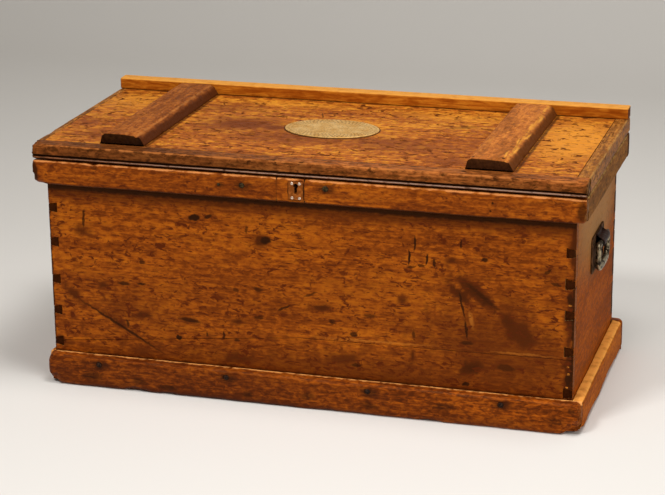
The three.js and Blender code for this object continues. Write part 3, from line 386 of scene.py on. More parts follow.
def old_metal(name, base, stain, metallic, roughness, mottle_mm, stain_share, bump_mm, pits=0.0,
              shine=0.5):
    """A metal surface long handled indoors: a base tone, patches of stain or rust, and fine pits."""
    finish, tree = new_finish(name)
    spot = add(tree, "TexCoord").outputs["Object"]
    mottle = add(tree, "TexNoise", {"Vector": spot, "Scale": 1 / (mottle_mm * MM), "Detail": 4.0})
    grit = add(tree, "TexNoise", {"Vector": spot, "Scale": 1 / (bump_mm * MM), "Detail": 3.0})
    low = 0.5 - 0.25 * stain_share
    stained = add(tree, "MapRange", {"Value": mottle, "From Min": low, "From Max": low + 0.22})
    inputs = {0: stained, 6: linear(base), 7: linear(stain)}
    colour = add(tree, "Mix", inputs, data_type="RGBA").outputs[2]
    dulled = add(tree, "MapRange", {"Value": stained, "To Min": roughness, "To Max": roughness + 0.25})
    bump = add(tree, "Bump", {"Height": grit, "Strength": 0.4 + pits, "Distance": 0.0003})
    inputs = {"Base Color": colour, "Metallic": metallic, "Roughness": dulled, "Normal": bump,
              "Specular IOR Level": shine}
    add(tree, "OutputMaterial", {"Surface": add(tree, "BsdfPrincipled", inputs)})
    return finish


def ripple(points, size_mm, seed):
    """A smooth wander from about -1 to 1 over the wood."""
    rng = np.random.default_rng(seed)
    total = np.zeros(len(points))
    for _ in range(6):
        across = rng.normal(size=3)
        across *= 2 * math.pi * rng.uniform(0.6, 1.7) / (size_mm * MM * np.linalg.norm(across))
        total += np.sin(points @ across + rng.uniform(0, 2 * math.pi))
    return total / 3


# Lines across a board close to each edge, so that the edge can be worn round
EDGE_LINES_MM = (0, 0.6, 1.4, 2.6, 4.2, 6.5, 10)


def lines_between(low, high, spacing):
    """Grid lines from one edge of a board to the other."""
    width = high - low
    edge = np.array([s * MM for s in EDGE_LINES_MM if s * MM < 0.42 * width])
    count = max(1, math.ceil((width - 2 * edge[-1]) / (spacing * MM)))
    middle = np.linspace(low + edge[-1], high - edge[-1], count + 1)[1:-1]
    return np.concatenate([low + edge, middle, (high - edge)[::-1]])


def box_skin(lines):
    """The outside of a box of grid lines: its points and its four-cornered faces."""
    counts = [len(line) for line in lines]
    outside = np.zeros(counts, bool)
    for axis in range(3):
        sheet = [slice(None)] * 3
        sheet[axis] = [0, -1]
        outside[tuple(sheet)] = True
    index = np.full(counts, -1)
    index[outside] = np.arange(outside.sum())
    points = np.stack(np.meshgrid(*lines, indexing="ij"), -1)[outside]
    faces = []
    for axis in range(3):
        for end in (0, -1):
            sheet = np.take(index, end, axis=axis)
            corners = [sheet[:-1, :-1], sheet[1:, :-1], sheet[1:, 1:], sheet[:-1, 1:]]
            quads = np.stack(corners, -1).reshape(-1, 4)
            turned_in = (end == 0) != (axis == 1)
            faces.append(quads[:, ::-1] if turned_in else quads)
    return points, np.concatenate(faces).tolist()


def to_edge(points, low, high, edge):
    """How far each point is from an edge, named by the faces that meet there, such as (0, -1, 1)."""
    away = [np.abs(points[:, a] - (high if side > 0 else low)[a]) for a, side in enumerate(edge) if side]
    return np.max(away, axis=0)


def unit(vectors):
    """Vectors brought to a length of 1."""
    return vectors / np.maximum(np.linalg.norm(vectors, axis=1, keepdims=True), 1e-9)


def rounded(points, low, high, radius):
    """Rounds the edges of a box by a radius that may change from point to point."""
    radius = np.broadcast_to(radius, len(points))[:, None]
    core = np.clip(points, low + radius, high - radius)
    out = points - core
    return core + unit(out) * np.abs(out).max(1, keepdims=True)


def inwards(points, low, high, core_mm=6):
    """The direction into the wood from each point of a board's surface."""
    margin = np.minimum(core_mm * MM, (high - low) / 2 * 0.95)
    return unit(np.clip(points, low + margin, high - margin) - points)


def bites(points, seed):
    """How deep an arris is bruised at each point: mostly little, here and there a bite."""
    long, short, fine = ripple(points, 48, seed + 1), ripple(points, 19, seed + 2), ripple(points, 8, seed)
    return 0.12 + 0.9 * np.clip(long, 0, 1) * np.clip(short + 0.2, 0, 1) + 0.15 * (1 + fine)


def chipped(points, chips, uneven):
    """How deep chips, each given by its place, half sizes and depth, go in at each point."""
    press = np.zeros(len(points))
    for place, reach, depth in chips:
        away = np.linalg.norm((points / MM - np.array(place)) / np.array(reach), axis=1)
        press += depth * np.clip(1 - (away * uneven) ** 2, 0, 1) ** 0.7
    return press


def worn_board(low, high, radius=0.8, edges=(), nibble=0.5, wave=0.12, chips=(), rubbed=(),
               rub_reach=3.6, fitted=(), bare=None, spacing=(6, 6, 6), seed=1):
    """A board between two corners, as points, faces, and how rubbed and how bare each point is.

    edges gives (edge, radius) where an edge is rounder than the others; rubbed lists edges
    that are worn light, to rub_reach; fitted lists sides held tight against the next piece,
    which stay crisp; bare is the side that was never waxed, such as (0, 1, 0).
    """
    low, high = np.array(low), np.array(high)
    flat, faces = box_skin([lines_between(low[a], high[a], spacing[a]) for a in range(3)])
    size = np.full(len(flat), radius * MM)
    for edge, wanted in edges:
        away = to_edge(flat, low, high, edge)
        share = np.clip((1.6 * wanted * MM - away) / (0.6 * wanted * MM), 0, 1)
        size = np.maximum(size, share * wanted * MM)
    size *= 1 + 0.22 * ripple(flat, 70, seed)
    size = np.minimum(size, 0.49 * (high - low).min())
    sides = np.sort(np.minimum(flat - low, high - flat), axis=1)
    edgeness = np.clip(1 - sides[:, 1] / (3.5 * MM), 0, 1)
    for side in fitted:
        edgeness *= np.clip(to_edge(flat, low, high, side) / (5 * MM) - 0.2, 0, 1)
    press = nibble * edgeness * bites(flat, seed) + wave * (1 + ripple(flat, 120, seed + 3)) / 2
    press += chipped(flat, chips, 1 + 0.2 * ripple(flat, 16, seed + 4))
    way = inwards(flat, low, high)
    points = rounded(flat, low, high, size) + way * (np.maximum(press, 0) * MM)[:, None]
    light = np.zeros(len(flat))
    for edge in rubbed:
        near = np.clip(1.3 - to_edge(flat, low, high, edge) / (rub_reach * MM), 0, 1)
        light = np.maximum(light, near)
    unwaxed = np.zeros(len(flat))
    if bare is not None:
        unwaxed = (to_edge(flat, low, high, bare) < 0.5 * MM) & (sides[:, 1] > 0.5 * MM)
    return points, faces, light, unwaxed


def ring_faces(rings, count, closed=False):
    """The faces between rings of points one after another, capped unless the last meets the first."""
    faces = [] if closed else [list(range(count))[::-1], [(rings - 1) * count + j for j in range(count)]]
    for i in range(rings if closed else rings - 1):
        for j in range(count):
            k, n = (j + 1) % count, (i + 1) % rings
            faces.append([i * count + j, i * count + k, n * count + k, n * count + j])
    return faces


def plain(points, faces):
    """A shape with no worn or bare wood on it."""
    none = np.zeros(len(points))
    return np.asarray(points) * MM, faces, none, none


def in_scene(name, data):
    """An object in the scene that shows a mesh, a lamp or a camera."""
    thing = bpy.data.objects.new(name, data)
    bpy.context.scene.collection.objects.link(thing)
    return thing


def joined(name, parts):
    """One mesh from one or more parts."""
    faces, start = [], 0
    for part in parts:
        faces += [[corner + start for corner in face] for face in part[1]]
        start += len(part[0])
    mesh = bpy.data.meshes.new(name)
    mesh.from_pydata(np.concatenate([part[0] for part in parts]).tolist(), [], faces)
    return mesh


def keep_values(mesh, name, values):
    """Keeps a value for each point of a mesh, for its finish to read."""
    layer = mesh.attributes.new(name, "FLOAT", "POINT")
    layer.data.foreach_set("value", values.astype(np.float32))


def body_of_node(node):
    """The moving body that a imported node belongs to."""
    return next(body for body, nodes in BODIES.items() if node in nodes)


# Faces that meet at a wider turn than this keep a crisp edge between them
SHARP_ABOVE = math.radians(38)


def make_piece(name, parts, finish, node):
    """One object from one or more worn parts, in place of a CAD node where one is named."""
    mesh = joined(name, parts)
    keep_values(mesh, "rubbed", np.concatenate([part[2] for part in parts]))
    keep_values(mesh, "bare", np.concatenate([part[3] for part in parts]))
    mesh.materials.append(finish)
    mesh.polygons.foreach_set("use_smooth", [True] * len(mesh.polygons))
    mesh.set_sharp_from_angle(angle=SHARP_ABOVE)
    piece = in_scene(name, mesh)
    if node:
        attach(piece, body_of_node(node))
        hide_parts(node)
    return piece


def added_piece(name, parts, finish, body):
    """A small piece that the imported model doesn't hold as a node."""
    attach(make_piece(name, parts, finish, None), body)


def lay_grime_and_shade(piece, face, patches):
    """Soft dark patches on a face, given like the marks, of grime and of painted shade, kept as how dark
    each point is.
    """
    first, second = ("xyz".index(axis) for axis in face)
    places = np.empty(3 * len(piece.data.vertices))
    piece.data.vertices.foreach_get("co", places)
    places = places.reshape(-1, 3)
    uneven = 1 + 0.16 * ripple(places, 34, 61) + 0.22 * ripple(places, 15, 67)
    total = np.zeros(len(places))
    for x, y, reach, width, turn, fade, strength in patches:
        across, up = places[:, first] / MM - x, places[:, second] / MM - y
        cos, sin = math.cos(math.radians(turn)), math.sin(math.radians(turn))
        away = np.hypot((across * cos + up * sin) / reach, (up * cos - across * sin) / width)
        share = np.clip((1 - away * uneven) / (0.85 * fade), 0, 1)
        total = np.maximum(total, strength * share * share * (3 - 2 * share))
    keep_values(piece.data, "grime_and_shade", total)


def cut_away(piece, cutters):
    """Cuts closed shapes out of a piece."""
    mesh = joined("cutter", cutters)
    shape = bmesh.new()
    shape.from_mesh(mesh)
    bmesh.ops.recalc_face_normals(shape, faces=shape.faces)
    shape.to_mesh(mesh)
    shape.free()
    cutter = in_scene("cutter", mesh)
    step = piece.modifiers.new("cut", "BOOLEAN")
    step.object = cutter
    step.operation = "DIFFERENCE"
    step.solver = "EXACT"
    ready = bpy.context.evaluated_depsgraph_get()
    whole = piece.evaluated_get(ready)
    cut = bpy.data.meshes.new_from_object(whole, preserve_all_data_layers=True, depsgraph=ready)
    piece.modifiers.clear()
    piece.data = cut
    cut.set_sharp_from_angle(angle=SHARP_ABOVE)
    bpy.data.objects.remove(cutter)


def arc(across, up, radius, start, stop, steps):
    """Corners of an outline along an arc, from one angle in degrees to another."""
    angles = np.radians(np.linspace(start, stop, steps + 1))
    return [(across + radius * math.cos(a), up + radius * math.sin(a), 0) for a in angles]


def rounded_outline(corners, spacing=5.0, steps=5):
    """A closed outline from corners (across, up, radius), with its straights divided."""
    count = len(corners)
    ends = []
    for i, (x, y, radius) in enumerate(corners):
        here = np.array([x, y], float)
        before = np.array(corners[i - 1][:2], float) - here
        after = np.array(corners[(i + 1) % count][:2], float) - here
        before /= np.linalg.norm(before)
        after /= np.linalg.norm(after)
        half = math.acos(np.clip(before @ after, -1, 1)) / 2
        if radius <= 0 or half > math.pi / 2 - 1e-3:
            ends.append([here])
            continue
        back = radius / math.tan(half)
        middle = here + (before + after) / np.linalg.norm(before + after) * radius / math.sin(half)
        first, last = here + before * back - middle, here + after * back - middle
        turn = math.atan2(first[0] * last[1] - first[1] * last[0], first @ last)
        bend = []
        for angle in np.linspace(0, turn, steps + 1):
            spin = np.array([[math.cos(angle), -math.sin(angle)], [math.sin(angle), math.cos(angle)]])
            bend.append(middle + spin @ first)
        ends.append(bend)
    outline = []
    for i, bend in enumerate(ends):
        outline += bend
        start, stop = bend[-1], ends[(i + 1) % count][0]
        pieces = max(1, math.ceil(np.linalg.norm(stop - start) / spacing))
        outline += [start + (stop - start) * k / pieces for k in range(1, pieces)]
    return np.array(outline)


def nearness(outline, spots, reach):
    """How near each point of an outline is to one of some spots, from 0 to 1."""
    near = np.zeros(len(outline))
    for spot in spots:
        near = np.maximum(near, np.clip(1.3 - np.linalg.norm(outline - spot, axis=1) / reach, 0, 1))
    return near


def moulding(outline, low, high, run, end_radius=1.0, nibble=0.4, wave=0.1, arrises=(), rubbed=(),
             spacing=6.0, chips=(), seed=1):
    """An outline drawn along one axis, worn at its ends and along named arrises."""
    stations = lines_between(low * MM, high * MM, spacing) / MM
    after = np.roll(outline, -1, 0)
    along = after - np.roll(outline, 1, 0)
    area = np.sum(outline[:, 0] * after[:, 1] - after[:, 0] * outline[:, 1])
    into = unit(np.stack([-along[:, 1], along[:, 0]], 1)) * (1 if area > 0 else -1)
    axis = "xyz".index(run)
    first, second = (a for a in range(3) if a != axis)
    rings, count = len(stations), len(outline)
    points = np.zeros((rings, count, 3))
    points[:, :, axis] = stations[:, None]
    points[:, :, first], points[:, :, second] = outline[:, 0], outline[:, 1]
    near_end = np.minimum(stations - low, high - stations)
    inset = end_radius - np.sqrt(np.maximum(end_radius ** 2 - np.maximum(end_radius - near_end, 0) ** 2, 0))
    flat = points.reshape(-1, 3) * MM
    press = nibble * np.tile(nearness(outline, arrises, 4), rings) * bites(flat, seed)
    press += wave * (1 + ripple(flat, 90, seed + 2)) / 2
    press += chipped(flat, chips, 1 + 0.25 * ripple(flat, 9, seed + 3))
    press = np.maximum(press, 0).reshape(rings, count) + inset[:, None]
    points[:, :, first] += press * into[:, 0]
    points[:, :, second] += press * into[:, 1]
    faces = ring_faces(rings, count)
    if (area > 0) == (axis == 1):
        faces = [face[::-1] for face in faces]
    light = np.tile(nearness(outline, rubbed, 3.6), rings) * np.repeat(near_end > 1, count)
    return points.reshape(-1, 3) * MM, faces, light, np.zeros(len(light))


def facing(direction):
    """A turn that takes +Z to a direction."""
    return np.array(Vector(direction).to_track_quat("Z", "Y").to_matrix())


def turned(profile, place, direction=(0, 0, 1), steps=24, uneven=0.0, seed=1):
    """A round shape from its profile of (radius, height), standing on a place and facing a direction."""
    rng = np.random.default_rng(seed)
    angles = np.arange(steps) * 2 * math.pi / steps
    rings = []
    for radius, height in profile:
        spread = radius * (1 + uneven * rng.normal(size=steps) * 0.5)
        lift = height + uneven * radius * rng.normal(size=steps) * 0.25
        rings.append(np.stack([spread * np.cos(angles), spread * np.sin(angles), lift], 1))
    points = np.concatenate(rings) @ facing(direction).T + np.array(place)
    return plain(points, ring_faces(len(profile), steps))


def nail_stains(node, count):
    """Dark rings of iron stain in the wood round a row of nails, drawn out along the grain."""
    marks = []
    for i in range(count):
        low, high = box_mm(f"{node}_{i + 1}")
        (x, _, z), size = (low + high) / 2, high[0] - low[0]
        marks += [(x, z, size * 0.8, size * 0.7, 0, 0.5, 0.95),
                  (x + 2, z - 1, size * 2.4, size * 1.3, 0, 1, 0.65)]
    return marks


def plate_outline():
    """Dark dirt along the four edges of the plate round the keyhole."""
    (left, _, bottom), (right, _, top) = box_mm("scutcheon")
    across, up = (left + right) / 2, (bottom + top) / 2
    wide, tall = (right - left) / 2, (top - bottom) / 2
    return [(left - 0.4, up, 1.7, tall + 4, 0, 0.5, 0.8),
            (right + 0.6, up, 2.0, tall + 5, 0, 0.5, 0.95),
            (across, bottom - 0.4, wide + 4, 1.6, 0, 0.5, 0.7),
            (across, top + 0.4, wide + 4, 1.6, 0, 0.5, 0.7)]


def plaque_shade_and_wax():
    """Painted shade on the lid close round the plaque, with dark wax gathered there."""
    (left, front, _), (right, back, _) = box_mm("plaque")
    wide, deep = (right - left) / 2 + 4, (back - front) / 2 + 6
    return [((left + right) / 2, (front + back) / 2, wide, deep, 0, 0.05, 0.9)]


# Front wall: the joint between its two boards climbs from the left end, as (across, height)
JOINT_MM = [(-465, 74.3), (-9.3, 121.8), (465, 126.8)]
# The open seam at a joint between two boards
SEAM_MM = 0.3


def joint_height(across):
    """The height of the front wall's joint at each place across it, in metres."""
    xs, zs = zip(*JOINT_MM)
    return np.interp(across, np.array(xs) * MM, np.array(zs) * MM)


def marks_on(half, marks):
    """Those of the front wall's marks that reach onto its upper or its lower board."""
    kept = []
    for mark in marks:
        x, z, reach, width, turn = mark[:5]
        tall = math.hypot(reach * math.sin(math.radians(turn)), width * math.cos(math.radians(turn)))
        left, right = joint_height(np.array([x - reach, x + reach]) * MM) / MM
        if (z + tall > left) if half == "upper" else (z - tall < right):
            kept.append(mark)
    return kept


def front_of(node):
    """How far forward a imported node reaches."""
    return box_mm(node)[0][1]


front_pines = {}
for half in ("upper", "lower"):
    front_pines[half] = waxed_pine(
        f"waxed_front_pine_{half}", "x", FRONT_TONES, marks_on(half, FRONT_MARKS), "xz",
        front_of("front_board_upper"), flecks=1.2, smudges=0.45, contrast=1.05,
        pale_marks=marks_on(half, FRONT_PALE_MARKS), ragged_mm=7.0, wax=0.16)
# The broad pale mark paints the end walls lighter over their upper part, as painted light
side_pine = waxed_pine("waxed_end_pine", "y", SIDE_TONES, (), "yz", box_mm("right_end_board")[1][0],
                       flecks=0.25, smudges=0.3, gloss=0.6, wax=0.02,
                       pale_marks=[(0, 345, 320, 150, 0, 1, 0.75)], seed=0.4)
back_pine = waxed_pine("dull_back_pine", "x", BACK_TONES, flecks=0.6, smudges=0.4, gloss=0.56, seed=0.9)
band_pine = waxed_pine("waxed_band_pine", "x", BAND_TONES,
                       nail_stains("rim_nail", 3) + plate_outline() + BAND_MARKS, "xz",
                       front_of("keyhole_patch"), flecks=0.9, smudges=0.4, rub=0.95, patchy=0.4,
                       ragged_mm=3.0, wax=0.16, seed=1.7)
band_side_pine = waxed_pine("waxed_band_end_pine", "y", BAND_SIDE_TONES, flecks=0.6, smudges=0.35,
                            gloss=0.6, wax=0.02, seed=2.1)
plinth_pine = waxed_pine("waxed_plinth_pine", "x", PLINTH_TONES,
                         nail_stains("plinth_nail", 4) + PLINTH_MARKS, "xz", front_of("plinth_front"),
                         flecks=0.6, smudges=0.4, contrast=0.95, rub=1.0, wax=0.16, seed=2.9)
plinth_side_pine = waxed_pine("waxed_plinth_end_pine", "y", PLINTH_SIDE_TONES, flecks=0.25, smudges=0.3,
                              gloss=0.6, rub=0.9, patchy=0.2, wax=0.02, seed=3.3)
lid_pine = waxed_pine("waxed_lid_pine", "x", LID_TONES, LID_MARKS + plaque_shade_and_wax(), "xy",
                      box_mm("lid_board_front")[1][2], flecks=1.2, smudges=0.4, gloss=0.45,
                      pale_marks=LID_PALE_MARKS, long=1.1, wide=1.7, wax=0.05, seed=4.1)
lid_front_pine = waxed_pine("waxed_lid_front_pine", "x", LID_EDGE_TONES, LID_FRONT_MARKS, "xz",
                            front_of("lid_front_edge"), flecks=0.8, rub=0.7, patchy=0.65,
                            pale_marks=BEAD_PAINTED_HIGHLIGHT, ragged_mm=0.8, wax=0.05, seed=4.7)
lid_side_pine = waxed_pine("waxed_lid_end_pine", "y", LID_SIDE_TONES, flecks=0.9, smudges=0.6, rub=0.4,
                           wax=0.04, seed=5.3)
rail_pine = waxed_pine("waxed_rail_pine", "x", RAIL_TONES, flecks=0.2, smudges=0.25, gloss=0.5, long=2.0,
                       rub=0.85, patchy=0.12, wax=0.06, seed=5.9)
# The battens are a browner wood than the boards, with a shorter and broader figure
BATTEN_FIGURE = dict(flecks=0.45, smudges=0.4, gloss=0.5, long=0.8, wide=1.3, contrast=1.3, wax=0.04)
batten_woods = {
    "left_batten": waxed_pine("waxed_left_batten_wood", "y", LEFT_BATTEN_TONES, rub=0.35, seed=6.7,
                              **BATTEN_FIGURE),
    "right_batten": waxed_pine("waxed_right_batten_wood", "y", RIGHT_BATTEN_TONES, RIGHT_BATTEN_MARKS,
                               "xy", box_mm("left_batten")[1][2], pale_marks=RIGHT_BATTEN_CURLS,
                               rub=0.4, seed=7.4, **BATTEN_FIGURE),
}

# Dovetails: the heights of the pins' middles on each end wall, half a pin's height midway through
# the wall, how much that half changes from inside to out, and how far a cutter overruns the wood
PIN_HEIGHTS_MM = {
    "left": (75.1, 133.2, 190.9, 259.4, 322.1, 384.8),
    "right": (67.3, 140.9, 204.8, 259.0, 312.8, 381.0),
}
PIN_HALF_MM, PIN_TAPER_MM, OVERRUN_MM = 7.5, 2.5, 3


def pin_block(sign, height, low_y, high_y, grow, seed, nibble=0.9):
    """One dovetail pin of an end wall, taller inside than out."""
    inner, outer = (corner[0] for corner in box_mm("right_end_board"))
    near, far = sorted((sign * inner, sign * outer))
    low = np.array([near - grow, low_y, height - PIN_HALF_MM - grow])
    high = np.array([far + grow, high_y, height + PIN_HALF_MM + grow])
    part = worn_board(low * MM, high * MM, 0.6, spacing=(3, 4, 3), nibble=nibble, wave=0.3, seed=seed)
    points = part[0]
    out = (sign * points[:, 0] / MM - (inner + outer) / 2) / (outer - inner)
    taper = 1 - out * PIN_TAPER_MM / PIN_HALF_MM
    points[:, 2] = height * MM + (points[:, 2] - height * MM) * taper
    return part


def sockets(wall):
    """What is cut from a wall for both ends' pins, with the ragged gaps of old joints."""
    low, high = box_mm(wall)
    reach = (low[1] - OVERRUN_MM, high[1] + OVERRUN_MM)
    rng = np.random.default_rng(5)
    found = []
    for side, sign in (("left", -1), ("right", 1)):
        for i, height in enumerate(PIN_HEIGHTS_MM[side]):
            grow = 0.35 + (0.9 if sign > 0 and i in (1, 2, 3) else 0.25) * rng.uniform(0.3, 1)
            found.append(pin_block(sign, height, *reach, grow, 200 + i, 0.2))
    return found


# Keyhole: the middle of its round eye, the eye's radius, the slot's half width and its foot
KEYHOLE_MM = (-7.0, 398.4)
EYE_MM, SLOT_HALF_MM, SLOT_FOOT_MM = 4.5, 2.5, 13


def keyhole_cutter(node):
    """The keyhole as a shape to cut a piece with: a round eye over a slot."""
    low, high = box_mm(node)
    start = math.degrees(math.asin(SLOT_HALF_MM / EYE_MM))
    eye = arc(0, 0, EYE_MM, start - 90, 270 - start, 21)
    outline = eye + [(-SLOT_HALF_MM, -SLOT_FOOT_MM, 0), (SLOT_HALF_MM, -SLOT_FOOT_MM, 0)]
    points = [(KEYHOLE_MM[0] + x, y, KEYHOLE_MM[1] + z)
              for y in (low[1] - OVERRUN_MM, high[1] + OVERRUN_MM) for x, z, _ in outline]
    return plain(points, ring_faces(2, len(outline)))


def front_boards():
    """The front wall's two boards, with their sockets and the keyhole."""
    low, high = np.array(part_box("front_board_lower")[0]), np.array(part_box("front_board_upper")[1])
    joint = JOINT_MM[1][1] * MM
    upper = worn_board([low[0], low[1], joint + SEAM_MM * MM], high, 0.7, spacing=(5, 8, 5), nibble=0.7,
                       bare=(0, 1, 0), seed=11)
    lower = worn_board(low, [high[0], high[1], joint], 0.9, spacing=(7, 8, 8), nibble=0.8,
                       bare=(0, 1, 0), seed=17)
    for half, part, fixed in (("upper", upper, high[2]), ("lower", lower, low[2])):
        node = f"front_board_{half}"
        points = part[0]
        share = (points[:, 2] - fixed) / (joint - fixed)
        points[:, 2] += share * (joint_height(points[:, 0]) - joint)
        wall = make_piece(f"{node}_wood", [part], front_pines[half], node)
        cutters = sockets(node)
        if half == "upper":
            cutters.append(keyhole_cutter(node))
        cut_away(wall, cutters)
        lay_grime_and_shade(wall, "xz", FRONT_GRIME_AND_SHADE)


def board(node, finish, slot, seed, **shape):
    """A packed board built again as a worn one."""
    part = worn_board(*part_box(node), seed=seed, **shape)
    return make_piece(f"{node}_wood", [part], finish, node)


front_boards()
for node in ("back_board_upper", "back_board_lower"):
    wall = board(node, back_pine, "wall_pine", 23, radius=0.9, spacing=(10, 8, 10), nibble=0.7,
                 bare=(0, -1, 0))
    cut_away(wall, sockets(node))
for i in range(3):
    board(f"bottom_board_{i + 1}", back_pine, "inner_pine", 27 + i, spacing=(14, 14, 14), bare=(0, 0, 1))


def end_board(side, sign):
    """An end wall with its two rows of dovetail pins, each worn and a little out of line."""
    node = f"{side}_end_board"
    low, high = (np.array(corner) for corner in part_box(node))
    body_low, body_high = low.copy(), high.copy()
    body_low[1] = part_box("front_board_upper")[1].y + SEAM_MM * MM
    body_high[1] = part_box("back_board_upper")[0].y - SEAM_MM * MM
    parts = [worn_board(body_low, body_high, 0.9, spacing=(8, 9, 9), bare=(-sign, 0, 0), seed=31)]
    rng = np.random.default_rng(37 if sign > 0 else 41)
    for height in PIN_HEIGHTS_MM[side]:
        for outer, inner in ((low[1], body_low[1]), (high[1], body_high[1])):
            sink = rng.uniform(-0.1, 0.35) * MM * (1 if outer < inner else -1)
            reach = sorted(((outer + sink) / MM, inner / MM))
            parts.append(pin_block(sign, height, *reach, 0.0, int(rng.integers(1000))))
    wall = make_piece(f"{node}_wood", parts, side_pine, node)
    # The wood is darker just round the handle's plate
    _, y, z = sum(box_mm(f"{side}_handle_plate")) / 2
    lay_grime_and_shade(wall, "yz", [(y, z - 6, 105, 72, 0, 1, 0.4), (y - 20, z + 42, 60, 16, -14, 1, 0.3)])


end_board("left", -1)
end_board("right", 1)

# Plinth: worn round along the top, with the front and back lapping the sides; the pale rubbed line along
# the top is wear and a painted highlight
plinth = board("plinth_front", plinth_pine, "plinth_pine", 51, radius=1.2, spacing=(5, 4, 5), nibble=1.0,
               edges=[((0, -1, 1), 8), ((0, -1, -1), 7), ((-1, -1, 0), 12), ((1, -1, 0), 12)],
               rubbed=[(0, 1, 1)], rub_reach=9, wave=0.5,
               chips=[((-474, -230, 0), (26, 26, 22), 9.0), ((-474, -230, 57), (18, 20, 14), 4.0),
                      ((-306, -230, 0), (26, 9, 8), 3.2), ((-250, -230, 0), (18, 8, 7), 2.4),
                      ((226, -230, 0), (24, 9, 7), 2.6), ((458, -230, 44), (16, 9, 8), 3.0),
                      ((470, -226, 34), (12, 10, 6), 2.2), ((484, -230, 0), (34, 34, 26), 10.0),
                      ((484, -230, 57), (16, 18, 14), 4.0), ((60, -226, 57), (24, 9, 6), 1.6)])
lay_grime_and_shade(plinth, "xz", PLINTH_GRIME)
board("plinth_back", plinth_pine, "plinth_pine", 53, radius=1.2, spacing=(9, 6, 8), nibble=0.8,
      edges=[((0, 1, 1), 8), ((0, 1, -1), 6), ((-1, 1, 0), 12), ((1, 1, 0), 12)], rubbed=[(0, 1, 1)])
board("plinth_left", plinth_side_pine, "plinth_pine", 55, radius=1.0, spacing=(6, 7, 6), nibble=0.8,
      edges=[((-1, 0, 1), 4), ((-1, 0, -1), 3)], rubbed=[(-1, 0, 1), (1, 0, 1)])
# Its whole top takes the bright rubbed tone: wear and painted light together
board("plinth_right", plinth_side_pine, "plinth_pine", 57, radius=1.0, spacing=(4, 6, 5), nibble=1.0,
      edges=[((1, 0, 1), 8), ((1, 0, -1), 8)], rubbed=[(0, 0, 1)], wave=0.6,
      chips=[((484, -206, 2), (16, 20, 18), 3.5), ((484, -120, 0), (10, 60, 10), 2.0),
             ((484, 60, 0), (10, 90, 12), 2.4)])

# Rim band under the lid; the pale rubbed tone on the front's top arris is wear and a painted highlight
FRONT_ARRISES = [((0, -1, 1), 3.5), ((0, -1, -1), 3.5)]
FRONT_BAND = dict(radius=0.35, rubbed=[(0, -1, 1)], rub_reach=4.4)
board("rim_band_front_left", band_pine, "wall_pine", 61, nibble=0.6, fitted=[(1, 0, 0)],
      edges=FRONT_ARRISES + [((-1, 0, -1), 13), ((-1, 0, 1), 4)],
      chips=[((-371, -228, 411), (7, 7, 6), 4.5), ((-300, -228, 411), (20, 5, 4), 1.0),
             ((-474, -228, 368), (14, 10, 10), 2.0)], **FRONT_BAND)
patch = board("keyhole_patch", band_pine, "wall_pine", 63, spacing=(4, 6, 6), nibble=0.7,
              edges=FRONT_ARRISES, fitted=[(-1, 0, 0), (1, 0, 0)], **FRONT_BAND)
cut_away(patch, [keyhole_cutter("keyhole_patch")])
board("rim_band_front_right", band_pine, "wall_pine", 65, nibble=0.9, fitted=[(-1, 0, 0)],
      edges=FRONT_ARRISES + [((1, 0, -1), 13), ((1, 0, 1), 4)],
      chips=[((470, -226, 405), (16, 9, 9), 2.2), ((200, -228, 411), (26, 5, 4), 0.9)], **FRONT_BAND)
board("rim_band_back", back_pine, "wall_pine", 67, radius=1.0, spacing=(9, 6, 7), nibble=0.8,
      edges=[((0, 1, 1), 3.5), ((0, 1, -1), 3.5)], rubbed=[(0, 1, 1)])
for node, seed, sign in (("rim_band_left", 69, -1), ("rim_band_right", 71, 1)):
    board(node, band_side_pine, "wall_pine", seed, spacing=(6, 7, 6), nibble=0.8,
          edges=[((sign, 0, 1), 3.5), ((sign, 0, -1), 3.5)], rubbed=[(sign, 0, 1)])

# Lid
for node, seed in (("lid_board_front", 73), ("lid_board_back", 75)):
    top = board(node, lid_pine, "lid_pine", seed, radius=0.6, spacing=(8, 8, 8), bare=(0, 0, -1))
    lay_grime_and_shade(top, "xy", LID_GRIME)
board("lid_left_edge", lid_side_pine, "lid_pine", 77, spacing=(5, 6, 6), edges=[((-1, 0, 1), 3)],
      rubbed=[(-1, 0, 1)], chips=[((-483, -150, 440), (5, 16, 5), 1.0)])
board("lid_right_edge", lid_side_pine, "lid_pine", 79, spacing=(5, 6, 6), nibble=0.8,
      edges=[((1, 0, 1), 3.5)], rubbed=[(1, 0, 1)])


def lid_front_edge():
    """The front strip, with a fine cut line along its top and a quirk and bead below."""
    low, high = box_mm("lid_front_edge")
    front, back, bottom, top = low[1], high[1], low[2], high[2]
    bead, quirk = 2.5, 1.5
    line, line_half, line_depth = front + 15.3, 0.7, 0.9
    over = bottom + 2 * bead + quirk
    corners = [(back, bottom, 0.4), (back, top, 0.5), (line + line_half, top, 0),
               (line, top - line_depth, 0), (line - line_half, top, 0), (front, top, 3.5),
               (front, over, 0.5), (front + bead, over, 0), (front + bead, bottom + 2 * bead, 0),
               *arc(front + bead, bottom + bead, bead, 90, 270, 10)[1:-1], (front + bead, bottom, 0)]
    part = moulding(rounded_outline(corners), low[0], high[0], "x", 4.5, 1.0, 0.25,
                    [(front, top), (front, over)], [(front, top)], 5.0,
                    [((-478, -226, 437), (14, 12, 8), 2.4), ((480, -226, 438), (18, 14, 10), 3.4),
                     ((2, -228, 440), (8, 6, 4), 1.8), ((-300, -228, 440), (26, 5, 4), 1.0),
                     ((240, -228, 440), (30, 5, 4), 0.9)], 85)
    strip = make_piece("lid_front_edge_wood", [part], lid_front_pine, "lid_front_edge")
    lay_grime_and_shade(strip, "xz", LID_FRONT_GRIME)


